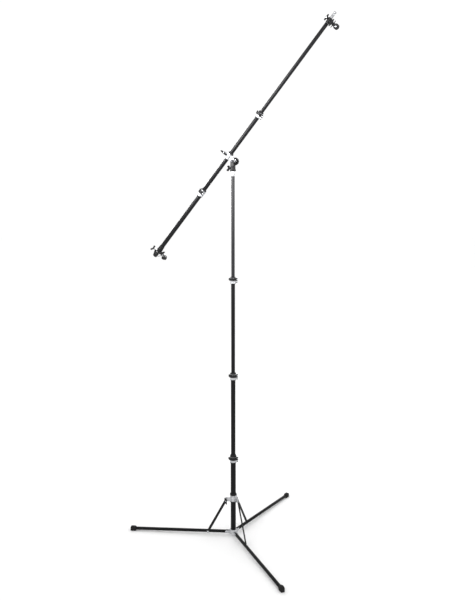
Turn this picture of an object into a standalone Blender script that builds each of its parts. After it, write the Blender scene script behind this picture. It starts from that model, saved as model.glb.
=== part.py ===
"""Telescopic light stand with a tilting boom, built piece by piece.

Units are metres and +Z is up. The origin is the middle of the bottom casting's underside, on the
axis of the column. The floor lies FLOOR_DROP below it.
"""

import math
from dataclasses import dataclass

import bmesh
import bpy
from mathutils import Matrix, Vector

# General fits
GAP = 0.0003                # between pieces that touch
RUNNING_GAP = 0.00035       # radial, round a pin, screw or tube that turns or slides
SIDES = 24                  # facets of a round piece
SMALL_SIDES = 12            # facets of a pin or screw

# Floor and legs
FLOOR_DROP = 0.018
LEG_AZIMUTHS = (174.0, -66.0, 54.0)
LEG_RADIUS = 0.0105
LEG_WALL = 0.0012
LEG_PIN_REACH = 0.046
LEG_PIN_HEIGHT = 0.009
FOOT_REACH = 0.693
FOOT_AXIS_HEIGHT = 0.0155
FOOT_LENGTH = 0.034
FOOT_WIDTH = 0.030
FOOT_HEIGHT = 0.031
FOOT_EDGE = 0.003
FOOT_END_WALL = 0.007
TONGUE_THICKNESS = 0.014
TONGUE_RADIUS = 0.0087
TONGUE_PLUG = 0.030
LEG_TUBE_START = 0.012
PIN_RADIUS = 0.003
RIVET_HEAD_RADIUS = 0.005
RIVET_HEAD_HEIGHT = 0.0015

# Bottom casting
HUB_RADIUS = 0.0265
HUB_HEIGHT = 0.029
HUB_FLOOR = 0.004
HUB_EAR_THICKNESS = 0.0045
HUB_EAR_RADIUS = 0.009
HUB_SLOT_BACK = 0.0095

# Sliding casting and struts
COLLAR_BASE = 0.227
COLLAR_HEIGHT = 0.053
COLLAR_WALL = 0.006
COLLAR_NECK_WALL = 0.0035
COLLAR_NECK_HEIGHT = 0.020
STRUT_PIN_REACH = 0.048
STRUT_PIN_HEIGHT = 0.015
STRUT_FOOT_ALONG_LEG = 0.127
STRUT_WIDTH = 0.017
STRUT_THICKNESS = 0.004
COLLAR_EAR_THICKNESS = 0.0035
COLLAR_EAR_RADIUS = 0.008
COLLAR_EAR_RISE = 0.018
COLLAR_KNOB_TURN = 105.0
COLLAR_BUSH_HEIGHT = 0.008

# Column tubes: radius and wall of each section
TUBE_1_RADIUS = 0.0175
TUBE_2_RADIUS = 0.0150
TUBE_3_RADIUS = 0.0125
TUBE_4_RADIUS = 0.0110
TUBE_1_WALL = 0.0015
TUBE_2_WALL = 0.0015
TUBE_3_WALL = 0.0010
TUBE_4_WALL = 0.0010
LOCK_1_BASE = 0.503
LOCK_2_BASE = 1.073
LOCK_3_BASE = 1.707
COLUMN_TOP = 2.380
COLUMN_OVERLAP = 0.080
GLIDE_LENGTH = 0.018

# Flip locks
LOCK_WALL = 0.0045
LOCK_SLIT = 0.002
LEVER_CLEARANCE = 0.0012
LEVER_THICKNESS = 0.006
LEVER_TAB_FLARE = 0.0035
BARREL_RADIUS = 0.0055
EAR_RADIUS = 0.005
LOCK_PIN_RADIUS = 0.002
LOCK_NUT_RADIUS = 0.0042
LOCK_NUT_HEIGHT = 0.004
LOCK_PIN_AZIMUTH = -15.0
LOCK_PIN_STANDOFF = 0.0015
BUSH_LIP_WALL = 0.0018

# Top of the column
SPIGOT_RADIUS = 0.008
SPIGOT_COLLAR_RADIUS = 0.0108
SPIGOT_COLLAR_HEIGHT = 0.030
SPIGOT_LENGTH = 0.036
SPIGOT_PLUG = 0.020

# Head
SOCKET_HEIGHT = 0.062
SOCKET_RADIUS = 0.0160
SOCKET_LIP_RADIUS = 0.0185
SOCKET_LIP_HEIGHT = 0.008
FORK_RADIUS = 0.011
FORK_SLOT = 0.0126
TINE_THICKNESS = 0.0095
SLOT_DEPTH = 0.021
CROWN_DROP = 0.018
TINE_POCKET = 0.0025
BOLT_RADIUS = 0.004
BOLT_HEAD_RADIUS = 0.0075
BOLT_HEAD_HEIGHT = 0.005
TILT_WASHER_RADIUS = 0.0145
TILT_WASHER_THICKNESS = 0.002
TILT_KNOB_RADIUS = 0.024
TILT_KNOB_DEPTH = 0.020
TILT_KNOB_STANDOFF = 0.007
TILT_KNOB_WALL = 0.0035
SOCKET_KNOB_HEIGHT = 0.037
SOCKET_KNOB_AZIMUTH = -165.0

# Boom
BOOM_AZIMUTH = -25.0
BOOM_ELEVATION = 49.5
BOOM_OFFSET = 0.0405
BOOM_REAR_RADIUS = 0.0140
BOOM_MIDDLE_RADIUS = 0.0125
BOOM_FRONT_RADIUS = 0.0110
BOOM_WALL = 0.0010
BOOM_REAR_END = -0.770
LOCK_4_BASE = -0.314
LOCK_5_BASE = 0.298
BOOM_FRONT_END = 0.950
BOOM_OVERLAP = 0.085

# Sleeve on the boom
SLEEVE_WALL = 0.004
SLEEVE_LOW = -0.013
SLEEVE_HIGH = 0.024
SLEEVE_LUG_RADIUS = 0.0115
SLEEVE_LUG_THICKNESS = 0.012
SLEEVE_EAR_THICKNESS = 0.006
SLEEVE_EAR_RADIUS = 0.0085
SLEEVE_SLIT = 0.003
SLEEVE_SCREW_OFFSET = 0.031
SLEEVE_KNOB_SEAT = 0.0127
FLANGE_RADIUS = 0.019
FLANGE_HEIGHT = 0.008
FLANGE_NECK_RADIUS = 0.0145

# Wing knobs
WING_SPAN = 0.050
WING_LOBE_RADIUS = 0.0085
WING_RISE = 0.013
WING_ROOT = 0.0025
WING_END_THICKNESS = 0.0045
WING_MIDDLE_THICKNESS = 0.012
KNOB_HUB_RADIUS = 0.0075
KNOB_HUB_HEIGHT = 0.015
KNOB_SCREW_RADIUS = 0.003

# Stud and end brackets
STUD_RADIUS = 0.008
STUD_LENGTH = 0.074
STUD_GROOVE = 0.0018
STUD_PLUG = 0.025
BRACKET_RADIUS = 0.013
BRACKET_LENGTH = 0.032
BRACKET_BOSS_RADIUS = 0.011
BRACKET_BOSS_REACH = 0.014
BRACKET_SLIT = 0.002
BRACKET_EAR_THICKNESS = 0.005
BRACKET_EAR_RADIUS = 0.0065
BRACKET_SCREW_OFFSET = 0.0166
BRACKET_SCREW_ALONG = 0.021
BRACKET_KNOB_SEAT = 0.0100
END_KNOB_SIZE = 0.8
REAR_CONE_LENGTH = 0.022
REAR_CONE_RADIUS = 0.0180
REAR_BODY_LENGTH = 0.024
RECEIVER_RADIUS = 0.014
RECEIVER_LENGTH = 0.026
RECEIVER_OFFSET = 0.009
RECEIVER_ALONG = 0.0365
REAR_KNOB_STANDOFF = 0.015
REAR_KNOB_TURN = 35.0
REAR_CLIP_ALONG = 0.022
REAR_BOSS_REACH = 0.017

# Spring clips, measured from the boss that they turn on
CLIP_STEM_RADIUS = 0.011
CLIP_STEM_HEIGHT = 0.0035
CLIP_SHAFT_RADIUS = 0.004
CLIP_SHAFT_LENGTH = 0.005
CLIP_PIN_REACH = 0.023
CLIP_PIN_RADIUS = 0.002
CLIP_KNUCKLE_RADIUS = 0.0042
CLIP_NECK_WIDTH = 0.012
CLIP_CHEEK_THICKNESS = 0.003
CLIP_STRIP = 0.003
CLIP_LENGTH = 0.059
CLIP_PAD_REACH = 0.043
CLIP_PAD_RADIUS = 0.0155
CLIP_BOW = 0.0095
CLIP_SPLAY = 0.022
CLIP_HANDLE_START = 0.0115
CLIP_HANDLE_WIDTH = 0.050
CLIP_BEND_DROP = 0.0055
CLIP_SHOULDER_DROP = 0.0070
REAR_CLIP_SLANT = -6.0

# Turns that carry a shape built round Z onto X or Y, and an outline from the XY onto the XZ plane
ALONG_X = Matrix.Rotation(math.radians(90), 4, "Y")
ALONG_Y = Matrix.Rotation(math.radians(-90), 4, "X")
UPRIGHT = Matrix.Rotation(math.radians(90), 4, "X")


@dataclass(frozen=True)
class LockSize:
    """Heights of one flip lock, from its collar's lower rim upwards."""

    skirt: float            # collar below the lever
    lever: float            # lever's height
    rim: float              # collar above the lever
    bush: float             # flared bush on top
    pin_azimuth: float = LOCK_PIN_AZIMUTH

    @property
    def collar(self) -> float:
        return self.skirt + self.lever + self.rim


LOCK_1 = LockSize(skirt=0.023, lever=0.020, rim=0.0035, bush=0.012)
LOCK_2 = LockSize(skirt=0.020, lever=0.021, rim=0.0035, bush=0.006)
LOCK_3 = LockSize(skirt=0.021, lever=0.018, rim=0.003, bush=0.004)
LOCK_4 = LockSize(skirt=0.021, lever=0.021, rim=0.005, bush=0.006, pin_azimuth=-50.0)
LOCK_5 = LockSize(skirt=0.017, lever=0.019, rim=0.003, bush=0.004)


def remove_startup_objects():
    for obj in list(bpy.data.objects):
        bpy.data.objects.remove(obj)


def new_collection(name):
    collection = bpy.data.collections.new(name)
    bpy.context.scene.collection.children.link(collection)
    return collection


def new_material(name, colour, metallic, roughness):
    material = bpy.data.materials.new(name)
    material.use_nodes = True
    shader = material.node_tree.nodes["Principled BSDF"]
    shader.inputs["Base Color"].default_value = (*colour, 1.0)
    shader.inputs["Metallic"].default_value = metallic
    shader.inputs["Roughness"].default_value = roughness
    return material


remove_startup_objects()
PARTS = new_collection("light_stand")
CUTTERS = new_collection("light_stand_cutters")

BLACK_TUBE = new_material("black anodised tube", (0.012, 0.012, 0.013), 0.6, 0.38)
CAST_SILVER = new_material("tumbled aluminium casting", (0.72, 0.72, 0.73), 1.0, 0.35)
BLACK_CAST = new_material("black coated casting", (0.015, 0.015, 0.016), 0.2, 0.5)
BLACK_PLASTIC = new_material("black nylon", (0.02, 0.02, 0.02), 0.0, 0.45)
RUBBER = new_material("black rubber", (0.018, 0.018, 0.018), 0.0, 0.85)
BRIGHT_STEEL = new_material("bright plated steel", (0.8, 0.8, 0.8), 1.0, 0.2)


# Placing

def shift(x=0.0, y=0.0, z=0.0):
    return Matrix.Translation((x, y, z))


def turn(degrees, axis):
    return Matrix.Rotation(math.radians(degrees), 4, axis)


def place(obj, parent, matrix):
    """Links an object, parents it to a frame and sets its place in that frame."""
    PARTS.objects.link(obj)
    obj.parent = parent
    obj.matrix_local = matrix
    return obj


def new_frame(name, parent=None, matrix=Matrix()):
    """An empty on a joint's axis or at the root of a group."""
    empty = bpy.data.objects.new(name, None)
    empty.empty_display_size = 0.02
    return place(empty, parent, matrix)


def as_cutter(obj):
    """Hides an object that only shapes another one."""
    obj.hide_render = True
    obj.display_type = "WIRE"
    PARTS.objects.unlink(obj)
    CUTTERS.objects.link(obj)
    return obj


def combine(obj, others, operation):
    for other in others:
        modifier = obj.modifiers.new(operation.title(), "BOOLEAN")
        modifier.operation = operation
        modifier.object = as_cutter(other)
    return obj


def fuse(obj, *others):
    return combine(obj, others, "UNION")


def cut(obj, *others):
    return combine(obj, others, "DIFFERENCE")


def common(obj, *others):
    return combine(obj, others, "INTERSECT")


# Shapes

def arc(centre, radius, start, end, steps):
    """Points on a circle from start to end, in degrees, with both ends."""
    points = []
    for step in range(steps + 1):
        angle = math.radians(start + (end - start) * step / steps)
        points.append((centre[0] + radius * math.cos(angle), centre[1] + radius * math.sin(angle)))
    return points


def circle(centre, radius, sides):
    return arc(centre, radius, 0.0, 360.0, sides)[:-1]


def turned(name, profile, material, parent, matrix=Matrix(), sides=SIDES, closed=False):
    """A profile of (radius, height) points turned about Z.

    The profile runs down the outer side. A closed one is a ring; an open one ends on the axis.
    """
    edges = [(i, i + 1) for i in range(len(profile) - 1)]
    if closed:
        edges.append((len(profile) - 1, 0))
    mesh = bpy.data.meshes.new(name)
    mesh.from_pydata([(radius, 0.0, height) for radius, height in profile], edges, [])
    mesh.materials.append(material)
    obj = place(bpy.data.objects.new(name, mesh), parent, matrix)
    screw = obj.modifiers.new("Turn", "SCREW")
    screw.steps = screw.render_steps = sides
    screw.use_merge_vertices = True
    screw.merge_threshold = 1e-6
    return obj


def ring(name, inner, outer, low, high, material, parent, matrix=Matrix(), sides=SIDES):
    profile = [(outer, high), (outer, low), (inner, low), (inner, high)]
    return turned(name, profile, material, parent, matrix, sides, closed=True)


def rod(name, radius, low, high, material, parent, matrix=Matrix(), sides=SMALL_SIDES):
    profile = [(0.0, high), (radius, high), (radius, low), (0.0, low)]
    return turned(name, profile, material, parent, matrix, sides)


def slab(name, outlines, thickness, material, parent, matrix=Matrix()):
    """Flat outlines in the XY plane, thickened evenly to both sides of it."""
    curve = bpy.data.curves.new(name, "CURVE")
    curve.dimensions = "2D"
    curve.fill_mode = "BOTH"
    curve.extrude = thickness / 2
    for outline in outlines:
        spline = curve.splines.new("POLY")
        spline.points.add(len(outline) - 1)
        spline.use_cyclic_u = True
        for point, (x, y) in zip(spline.points, outline):
            point.co = (x, y, 0.0, 1.0)
    source = bpy.data.objects.new(name + "_outline", curve)
    PARTS.objects.link(source)
    mesh = bpy.data.meshes.new_from_object(source.evaluated_get(bpy.context.evaluated_depsgraph_get()))
    bpy.data.objects.remove(source)
    mesh.name = name
    shell = bmesh.new()
    shell.from_mesh(mesh)
    bmesh.ops.remove_doubles(shell, verts=shell.verts, dist=1e-6)
    bmesh.ops.recalc_face_normals(shell, faces=shell.faces)
    shell.to_mesh(mesh)
    shell.free()
    mesh.materials.clear()
    mesh.materials.append(material)
    return place(bpy.data.objects.new(name, mesh), parent, matrix)


def block(name, size, material, parent, matrix=Matrix(), edge=0.0):
    """A box centred on its frame, with rounded edges where edge is given."""
    mesh = bpy.data.meshes.new(name)
    shell = bmesh.new()
    bmesh.ops.create_cube(shell, size=1.0, matrix=Matrix.Diagonal((*size, 1.0)))
    shell.to_mesh(mesh)
    shell.free()
    mesh.materials.append(material)
    obj = place(bpy.data.objects.new(name, mesh), parent, matrix)
    if edge > 0.0:
        bevel = obj.modifiers.new("Round", "BEVEL")
        bevel.width = edge
        bevel.segments = 2
    return obj


def weld(obj):
    """Joins points that a cut has left on top of each other."""
    modifier = obj.modifiers.new("Weld", "WELD")
    modifier.merge_threshold = 1e-6
    return obj


def ear_outline(back, reach, radius, lift=0.0, steps=6):
    """A plate's outline that runs out to a pin and ends in a half circle round it."""
    return [(back, lift - radius)] + arc((reach, lift), radius, -90.0, 90.0, steps) + [(back, lift + radius)]


# Repeated pieces

def tube(name, radius, wall, low, high, parent, glide_radius=None):
    """A tube, with a glide ring at its lower end where it slides in a larger one."""
    inner = radius - wall
    if glide_radius is None:
        return ring(name, inner, radius, low, high, BLACK_TUBE, parent)
    glide_top = low + GLIDE_LENGTH
    profile = [(radius, high), (radius, glide_top), (glide_radius, glide_top), (glide_radius, low),
               (inner, low), (inner, high)]
    return turned(name, profile, BLACK_TUBE, parent, closed=True)


def wing_knob(name, parent, matrix, screw_length, size=1.0):
    """A wing knob moulded on its screw. Z points out of the piece that it clamps."""
    hub = KNOB_HUB_RADIUS * size
    height = KNOB_HUB_HEIGHT * size
    lobe = WING_LOBE_RADIUS * size
    rise = WING_RISE * size
    root = WING_ROOT * size
    profile = [(0.0, height), (hub * 0.6, height), (hub, height * 0.8), (hub, 0.0),
               (KNOB_SCREW_RADIUS, 0.0), (KNOB_SCREW_RADIUS, -screw_length), (0.0, -screw_length)]
    knob = turned(name, profile, BLACK_PLASTIC, parent, matrix, SMALL_SIDES)
    lobe_reach = WING_SPAN * size / 2 - lobe
    dip = height * 0.9
    outline = (arc((lobe_reach, rise), lobe, -100.0, 130.0, 5)
               + [(hub * 0.7, dip), (-hub * 0.7, dip)]
               + arc((-lobe_reach, rise), lobe, 50.0, 280.0, 5)
               + [(-hub * 0.7, root), (hub * 0.7, root)])
    middle = WING_MIDDLE_THICKNESS * size
    wings = slab(name + "_wings", [outline], middle * 1.5, BLACK_PLASTIC, parent, matrix @ UPRIGHT)
    lens = lens_outline(WING_SPAN * size * 1.04, WING_END_THICKNESS * size, middle)
    thinner = slab(name + "_taper", [lens], 4 * rise, BLACK_PLASTIC, parent, matrix @ shift(z=rise))
    common(wings, thinner)
    return weld(fuse(knob, wings))


def lens_outline(length, end_thickness, middle_thickness, steps=4):
    """A long outline that is thickest in its middle."""
    upper = []
    for step in range(steps + 1):
        along = 1.0 - 2.0 * step / steps
        swell = end_thickness + (middle_thickness - end_thickness) * (1.0 - along * along)
        upper.append((length / 2 * along, swell / 2))
    lower = [(-x, -y) for x, y in upper]
    return upper + lower


def flip_lock(number, outer, inner, size, parent, lever_frame_matrix):
    """A split collar on a tube's mouth, its flared bush, and the lever that closes it.

    Z = 0 is the collar's lower rim. The lever's pin stands at the lock's own azimuth.
    """
    name = f"lock_{number}_"
    collar_radius = outer + RUNNING_GAP + LOCK_WALL
    pin_reach = collar_radius + BARREL_RADIUS + LOCK_PIN_STANDOFF
    aim = turn(size.pin_azimuth, "Z")
    lever_low = size.skirt
    lever_high = size.skirt + size.lever

    # Collar: a ring with one ear column, notched where the lever's two lugs sit
    start = math.degrees(math.asin(EAR_RADIUS / collar_radius))
    outline = arc((pin_reach, 0.0), EAR_RADIUS, -90.0, 90.0, 4)
    outline += arc((0.0, 0.0), collar_radius, start, 360.0 - start, SIDES)
    bore = circle((0.0, 0.0), outer + RUNNING_GAP, SIDES)
    collar = slab(name + "collar", [outline, bore], size.collar, CAST_SILVER, parent,
                  aim @ shift(z=size.collar / 2))
    ear_low = lever_low + size.lever * 0.32
    ear_high = lever_low + size.lever * 0.68
    foot_low = lever_low * 0.55
    notch_width = 4 * BARREL_RADIUS
    notch_reach = collar_radius + GAP + notch_width / 2
    cuts = ((-0.001, foot_low), (lever_low - GAP, ear_low), (ear_high, size.collar + 0.001))
    for index, (low, high) in enumerate(cuts):
        notch = block(f"{name}notch_{index}", (notch_width, notch_width, high - low), CAST_SILVER, parent,
                      aim @ shift(x=notch_reach, z=(low + high) / 2))
        cut(collar, notch)
    pin_hole = rod(name + "pin_hole", LOCK_PIN_RADIUS + RUNNING_GAP, -0.01, size.collar + 0.01, CAST_SILVER,
                   parent, aim @ shift(x=pin_reach))
    slit = block(name + "slit", (2 * collar_radius, LOCK_SLIT, size.collar * 1.2), CAST_SILVER, parent,
                 turn(size.pin_azimuth + 45.0, "Z") @ shift(x=collar_radius, z=size.collar / 2))
    cut(collar, pin_hole, slit)

    # Bush: guides the inner tube and covers the outer tube's mouth
    bottom = size.collar + GAP
    top = bottom + size.bush
    lip = inner + RUNNING_GAP + BUSH_LIP_WALL
    brim = collar_radius - LOCK_WALL * 0.4
    profile = [(lip, top), (brim, bottom + size.bush * 0.35), (brim, bottom),
               (inner + RUNNING_GAP, bottom), (inner + RUNNING_GAP, top)]
    turned(name + "bush", profile, BLACK_PLASTIC, parent, closed=True)

    # Lever: a band round the front, with a barrel on the pin
    lever_frame = new_frame(name + "lever_axis", parent, lever_frame_matrix @ aim @ shift(x=pin_reach))
    centred = shift(x=-pin_reach)
    band_inner = collar_radius + LEVER_CLEARANCE
    band_outer = band_inner + LEVER_THICKNESS
    band = arc((0.0, 0.0), band_inner, -9.0, -168.0, 9)
    band += [(-(band_outer + LEVER_TAB_FLARE) * math.cos(math.radians(8)),
              -(band_outer + LEVER_TAB_FLARE) * math.sin(math.radians(8)))]
    band += arc((0.0, 0.0), band_outer, -152.0, -9.0, 8)
    lever = slab(name + "lever", [band], size.lever * 1.2, BLACK_PLASTIC, lever_frame,
                 centred @ shift(z=(lever_low + lever_high) / 2))
    barrel = rod(name + "barrel", BARREL_RADIUS, lever_low * 0.7, lever_high * 1.1, BLACK_PLASTIC, lever_frame)
    clear = EAR_RADIUS + 2 * GAP
    ear_room = slab(name + "ear_room", [[(-pin_reach, -clear), (0.0, -clear)]
                                        + arc((0.0, 0.0), clear, -60.0, 0.0, 3)
                                        + [(clear, clear * 1.5), (-pin_reach, clear * 1.5)]],
                    ear_high - ear_low + 2 * GAP, BLACK_PLASTIC, lever_frame,
                    shift(z=(ear_low + ear_high) / 2))
    lever_hole = rod(name + "lever_hole", LOCK_PIN_RADIUS + RUNNING_GAP, -0.01, size.collar + 0.01,
                     BLACK_PLASTIC, lever_frame)
    front = rounded_rectangle(-(band_outer + 2 * LEVER_TAB_FLARE), pin_reach + 2 * BARREL_RADIUS,
                              lever_low, lever_high, size.lever * 0.36)
    rounding = slab(name + "rounding", [front], 4 * band_outer, BLACK_PLASTIC, lever_frame,
                    centred @ UPRIGHT)
    fuse(lever, barrel)
    common(lever, rounding)
    cut(lever, ear_room, lever_hole)

    # Pin: a head on the lever's upper lug, a nut under the collar's lower ear
    nut_top = foot_low - GAP
    nut_low = nut_top - LOCK_NUT_HEIGHT
    head_low = lever_high + GAP
    head_high = head_low + 0.0018
    profile = [(0.0, head_high), (LOCK_NUT_RADIUS * 0.8, head_high), (LOCK_NUT_RADIUS * 0.8, head_low),
               (LOCK_PIN_RADIUS, head_low), (LOCK_PIN_RADIUS, nut_top), (LOCK_NUT_RADIUS, nut_top),
               (LOCK_NUT_RADIUS, nut_low), (0.0, nut_low)]
    turned(name + "pin", profile, BRIGHT_STEEL, parent, aim @ shift(x=pin_reach), SMALL_SIDES)


def rounded_rectangle(left, right, low, high, radius, steps=2):
    points = []
    for centre, start in (((right - radius, high - radius), 0.0), ((left + radius, high - radius), 90.0),
                          ((left + radius, low + radius), 180.0), ((right - radius, low + radius), 270.0)):
        points += arc(centre, radius, start, start + 90.0, steps)
    return points


# Base

def leg_droop():
    """How far the leg falls from its pin to the foot, as an angle below the horizontal, in degrees."""
    fall = LEG_PIN_HEIGHT - (FOOT_AXIS_HEIGHT - FLOOR_DROP)
    return math.degrees(math.asin(fall / (FOOT_REACH - LEG_PIN_REACH)))


def build_hub(parent):
    profile = [(0.0, HUB_FLOOR), (TUBE_1_RADIUS + RUNNING_GAP, HUB_FLOOR)]
    profile += [(TUBE_1_RADIUS + RUNNING_GAP, HUB_HEIGHT), (HUB_RADIUS * 0.86, HUB_HEIGHT),
                (HUB_RADIUS, HUB_HEIGHT * 0.6), (HUB_RADIUS, 0.0), (0.0, 0.0)]
    hub = turned("base_hub", profile, CAST_SILVER, parent)
    slot_width = TONGUE_THICKNESS + 2 * GAP
    width = slot_width + 2 * HUB_EAR_THICKNESS
    for number, azimuth in enumerate(LEG_AZIMUTHS, 1):
        aim = turn(azimuth, "Z")
        outline = ear_outline(TUBE_1_RADIUS + 0.003, LEG_PIN_REACH, HUB_EAR_RADIUS, LEG_PIN_HEIGHT)
        ears = slab(f"hub_ears_{number}", [outline], width, CAST_SILVER, parent, aim @ UPRIGHT)
        slot_start = LEG_PIN_REACH - HUB_SLOT_BACK
        slot_length = 2 * HUB_EAR_RADIUS + HUB_SLOT_BACK
        slot = block(f"hub_slot_{number}", (slot_length, slot_width, 4 * HUB_EAR_RADIUS), CAST_SILVER,
                     parent, aim @ shift(x=slot_start + slot_length / 2, z=LEG_PIN_HEIGHT))
        pin = rivet(f"hub_pin_{number}", width, parent,
                    aim @ shift(x=LEG_PIN_REACH, z=LEG_PIN_HEIGHT) @ ALONG_Y)
        fuse(hub, ears)
        cut(hub, slot)
        fuse(hub, pin)
    return hub


def rivet(name, width, parent, matrix):
    """A rivet across two ears, with a head beyond each of them."""
    shank = width / 2 - 0.0005
    head = width / 2 + RIVET_HEAD_HEIGHT
    profile = [(0.0, head), (RIVET_HEAD_RADIUS * 0.7, head), (RIVET_HEAD_RADIUS, shank),
               (PIN_RADIUS, shank), (PIN_RADIUS, -shank), (RIVET_HEAD_RADIUS, -shank),
               (RIVET_HEAD_RADIUS * 0.7, -head), (0.0, -head)]
    return turned(name, profile, CAST_SILVER, parent, matrix, SMALL_SIDES)


def build_leg(number, azimuth, parent):
    droop = leg_droop()
    matrix = turn(azimuth, "Z") @ shift(x=LEG_PIN_REACH, z=LEG_PIN_HEIGHT) @ turn(droop, "Y")
    frame = new_frame(f"leg_{number}_pivot", parent, matrix)
    end = leg_tube_end()
    inner = LEG_RADIUS - LEG_WALL
    profile = [(0.0, TONGUE_PLUG), (inner, TONGUE_PLUG), (inner, end), (LEG_RADIUS, end),
               (LEG_RADIUS, LEG_TUBE_START), (0.0, LEG_TUBE_START)]
    leg = turned(f"leg_{number}", profile, BLACK_TUBE, frame, ALONG_X)
    tongue = slab(f"leg_{number}_tongue", [ear_outline(-(LEG_TUBE_START + 0.004), 0.0, TONGUE_RADIUS)],
                  TONGUE_THICKNESS, BLACK_PLASTIC, frame, turn(180.0, "Z") @ UPRIGHT)
    hole = rod(f"leg_{number}_hole", PIN_RADIUS + RUNNING_GAP, -LEG_RADIUS, LEG_RADIUS, BLACK_TUBE, frame,
               ALONG_Y)
    fuse(leg, tongue)
    cut(leg, hole)
    build_foot(number, azimuth, parent, frame, end)


def leg_tube_end():
    """Length of the leg from its pin to the tube's outer end."""
    return (FOOT_REACH - LEG_PIN_REACH) / math.cos(math.radians(leg_droop())) + FOOT_LENGTH / 2 - FOOT_END_WALL


def build_foot(number, azimuth, parent, leg_frame, leg_end):
    """A rubber boot. Its sole is level, and its bore follows the leg."""
    matrix = turn(azimuth, "Z") @ shift(x=FOOT_REACH, z=FOOT_HEIGHT / 2 - FLOOR_DROP)
    foot = block(f"foot_{number}", (FOOT_LENGTH, FOOT_WIDTH, FOOT_HEIGHT), RUBBER, parent, matrix, FOOT_EDGE)
    bore = rod(f"foot_{number}_bore", LEG_RADIUS + GAP, leg_end - 2 * FOOT_LENGTH, leg_end + GAP, RUBBER,
               leg_frame, ALONG_X, SIDES)
    cut(foot, bore)
    return foot


def build_leg_collar(parent):
    """The sliding casting. Its knob's screw is the first strut's pin and locks the legs' spread."""
    frame = new_frame("leg_collar_slide", parent, shift(z=COLLAR_BASE))
    bore = TUBE_1_RADIUS + RUNNING_GAP
    neck = COLLAR_HEIGHT - COLLAR_NECK_HEIGHT
    profile = [(bore + COLLAR_NECK_WALL, COLLAR_HEIGHT), (bore + COLLAR_NECK_WALL, neck),
               (bore + COLLAR_WALL, neck - 0.004), (bore + COLLAR_WALL, 0.0), (bore, 0.0), (bore, COLLAR_HEIGHT)]
    collar = turned("leg_collar", profile, CAST_SILVER, frame, closed=True)
    slot_width = STRUT_THICKNESS + 2 * GAP
    width = slot_width + 2 * COLLAR_EAR_THICKNESS
    side = strut_side()
    for number, azimuth in enumerate(LEG_AZIMUTHS, 1):
        aim = turn(azimuth, "Z") @ shift(y=side)
        ears = slab(f"collar_ears_{number}", [collar_ear_outline(bore + 0.0005)], width, CAST_SILVER, frame,
                    aim @ UPRIGHT)
        slot_start = STRUT_PIN_REACH - STRUT_WIDTH / 2 - 2 * GAP
        slot_length = STRUT_WIDTH * 1.5
        slot = block(f"collar_slot_{number}", (slot_length, slot_width, 6 * COLLAR_EAR_RADIUS), CAST_SILVER,
                     frame, aim @ shift(x=slot_start + slot_length / 2, z=STRUT_PIN_HEIGHT))
        on_pin = aim @ shift(x=STRUT_PIN_REACH, z=STRUT_PIN_HEIGHT) @ ALONG_Y
        fuse(collar, ears)
        cut(collar, slot)
        if number == 1:
            hole = rod("collar_screw_hole", KNOB_SCREW_RADIUS + RUNNING_GAP, -width, width, CAST_SILVER, frame,
                       on_pin)
            cut(collar, hole)
            seat = width / 2 + GAP
            wing_knob("collar_knob", frame, on_pin @ shift(z=seat) @ turn(COLLAR_KNOB_TURN, "Z"), seat + width / 2)
        else:
            fuse(collar, rivet(f"collar_pin_{number}", width, frame, on_pin))
        build_strut(number, azimuth, frame)
    low = COLLAR_HEIGHT + GAP
    brim = bore + COLLAR_NECK_WALL
    profile = [(bore + 0.0018, low + COLLAR_BUSH_HEIGHT), (brim, low + COLLAR_BUSH_HEIGHT * 0.4), (brim, low),
               (bore, low), (bore, low + COLLAR_BUSH_HEIGHT)]
    turned("collar_bush", profile, BLACK_PLASTIC, frame, closed=True)


def collar_ear_outline(back):
    """A tall plate with the strut's pin in its lower outer corner."""
    low = STRUT_PIN_HEIGHT - COLLAR_EAR_RADIUS
    high = STRUT_PIN_HEIGHT + COLLAR_EAR_RISE
    edge = STRUT_PIN_REACH + COLLAR_EAR_RADIUS
    corner = arc((STRUT_PIN_REACH, STRUT_PIN_HEIGHT), COLLAR_EAR_RADIUS, -90.0, 0.0, 3)
    return [(back, low)] + corner + [(edge, high - 0.009), (edge - 0.007, high), (back, high)]


def strut_side():
    """Sideways place of a strut, which lies flat against the side of its leg."""
    return LEG_RADIUS + GAP + STRUT_THICKNESS / 2


def build_strut(number, azimuth, collar_frame):
    droop = math.radians(leg_droop())
    foot_reach = LEG_PIN_REACH + STRUT_FOOT_ALONG_LEG * math.cos(droop)
    foot_height = LEG_PIN_HEIGHT - STRUT_FOOT_ALONG_LEG * math.sin(droop)
    run = foot_reach - STRUT_PIN_REACH
    drop = COLLAR_BASE + STRUT_PIN_HEIGHT - foot_height
    length = math.hypot(run, drop)
    matrix = (turn(azimuth, "Z") @ shift(x=STRUT_PIN_REACH, y=strut_side(), z=STRUT_PIN_HEIGHT)
              @ turn(math.degrees(math.atan2(drop, run)), "Y"))
    frame = new_frame(f"strut_{number}_pivot", collar_frame, matrix)
    radius = STRUT_WIDTH / 2
    outline = arc((length, 0.0), radius, -90.0, 90.0, 6) + arc((0.0, 0.0), radius, 90.0, 270.0, 6)
    hole = circle((0.0, 0.0), PIN_RADIUS + RUNNING_GAP, SMALL_SIDES)
    strut = slab(f"strut_{number}", [outline, hole], STRUT_THICKNESS, BLACK_CAST, frame, UPRIGHT)
    face = STRUT_THICKNESS / 2
    head = rod(f"strut_{number}_rivet", RIVET_HEAD_RADIUS, 0.0, face + RIVET_HEAD_HEIGHT, CAST_SILVER,
               frame, shift(x=length) @ ALONG_Y)
    return fuse(strut, head)


# Column

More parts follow.
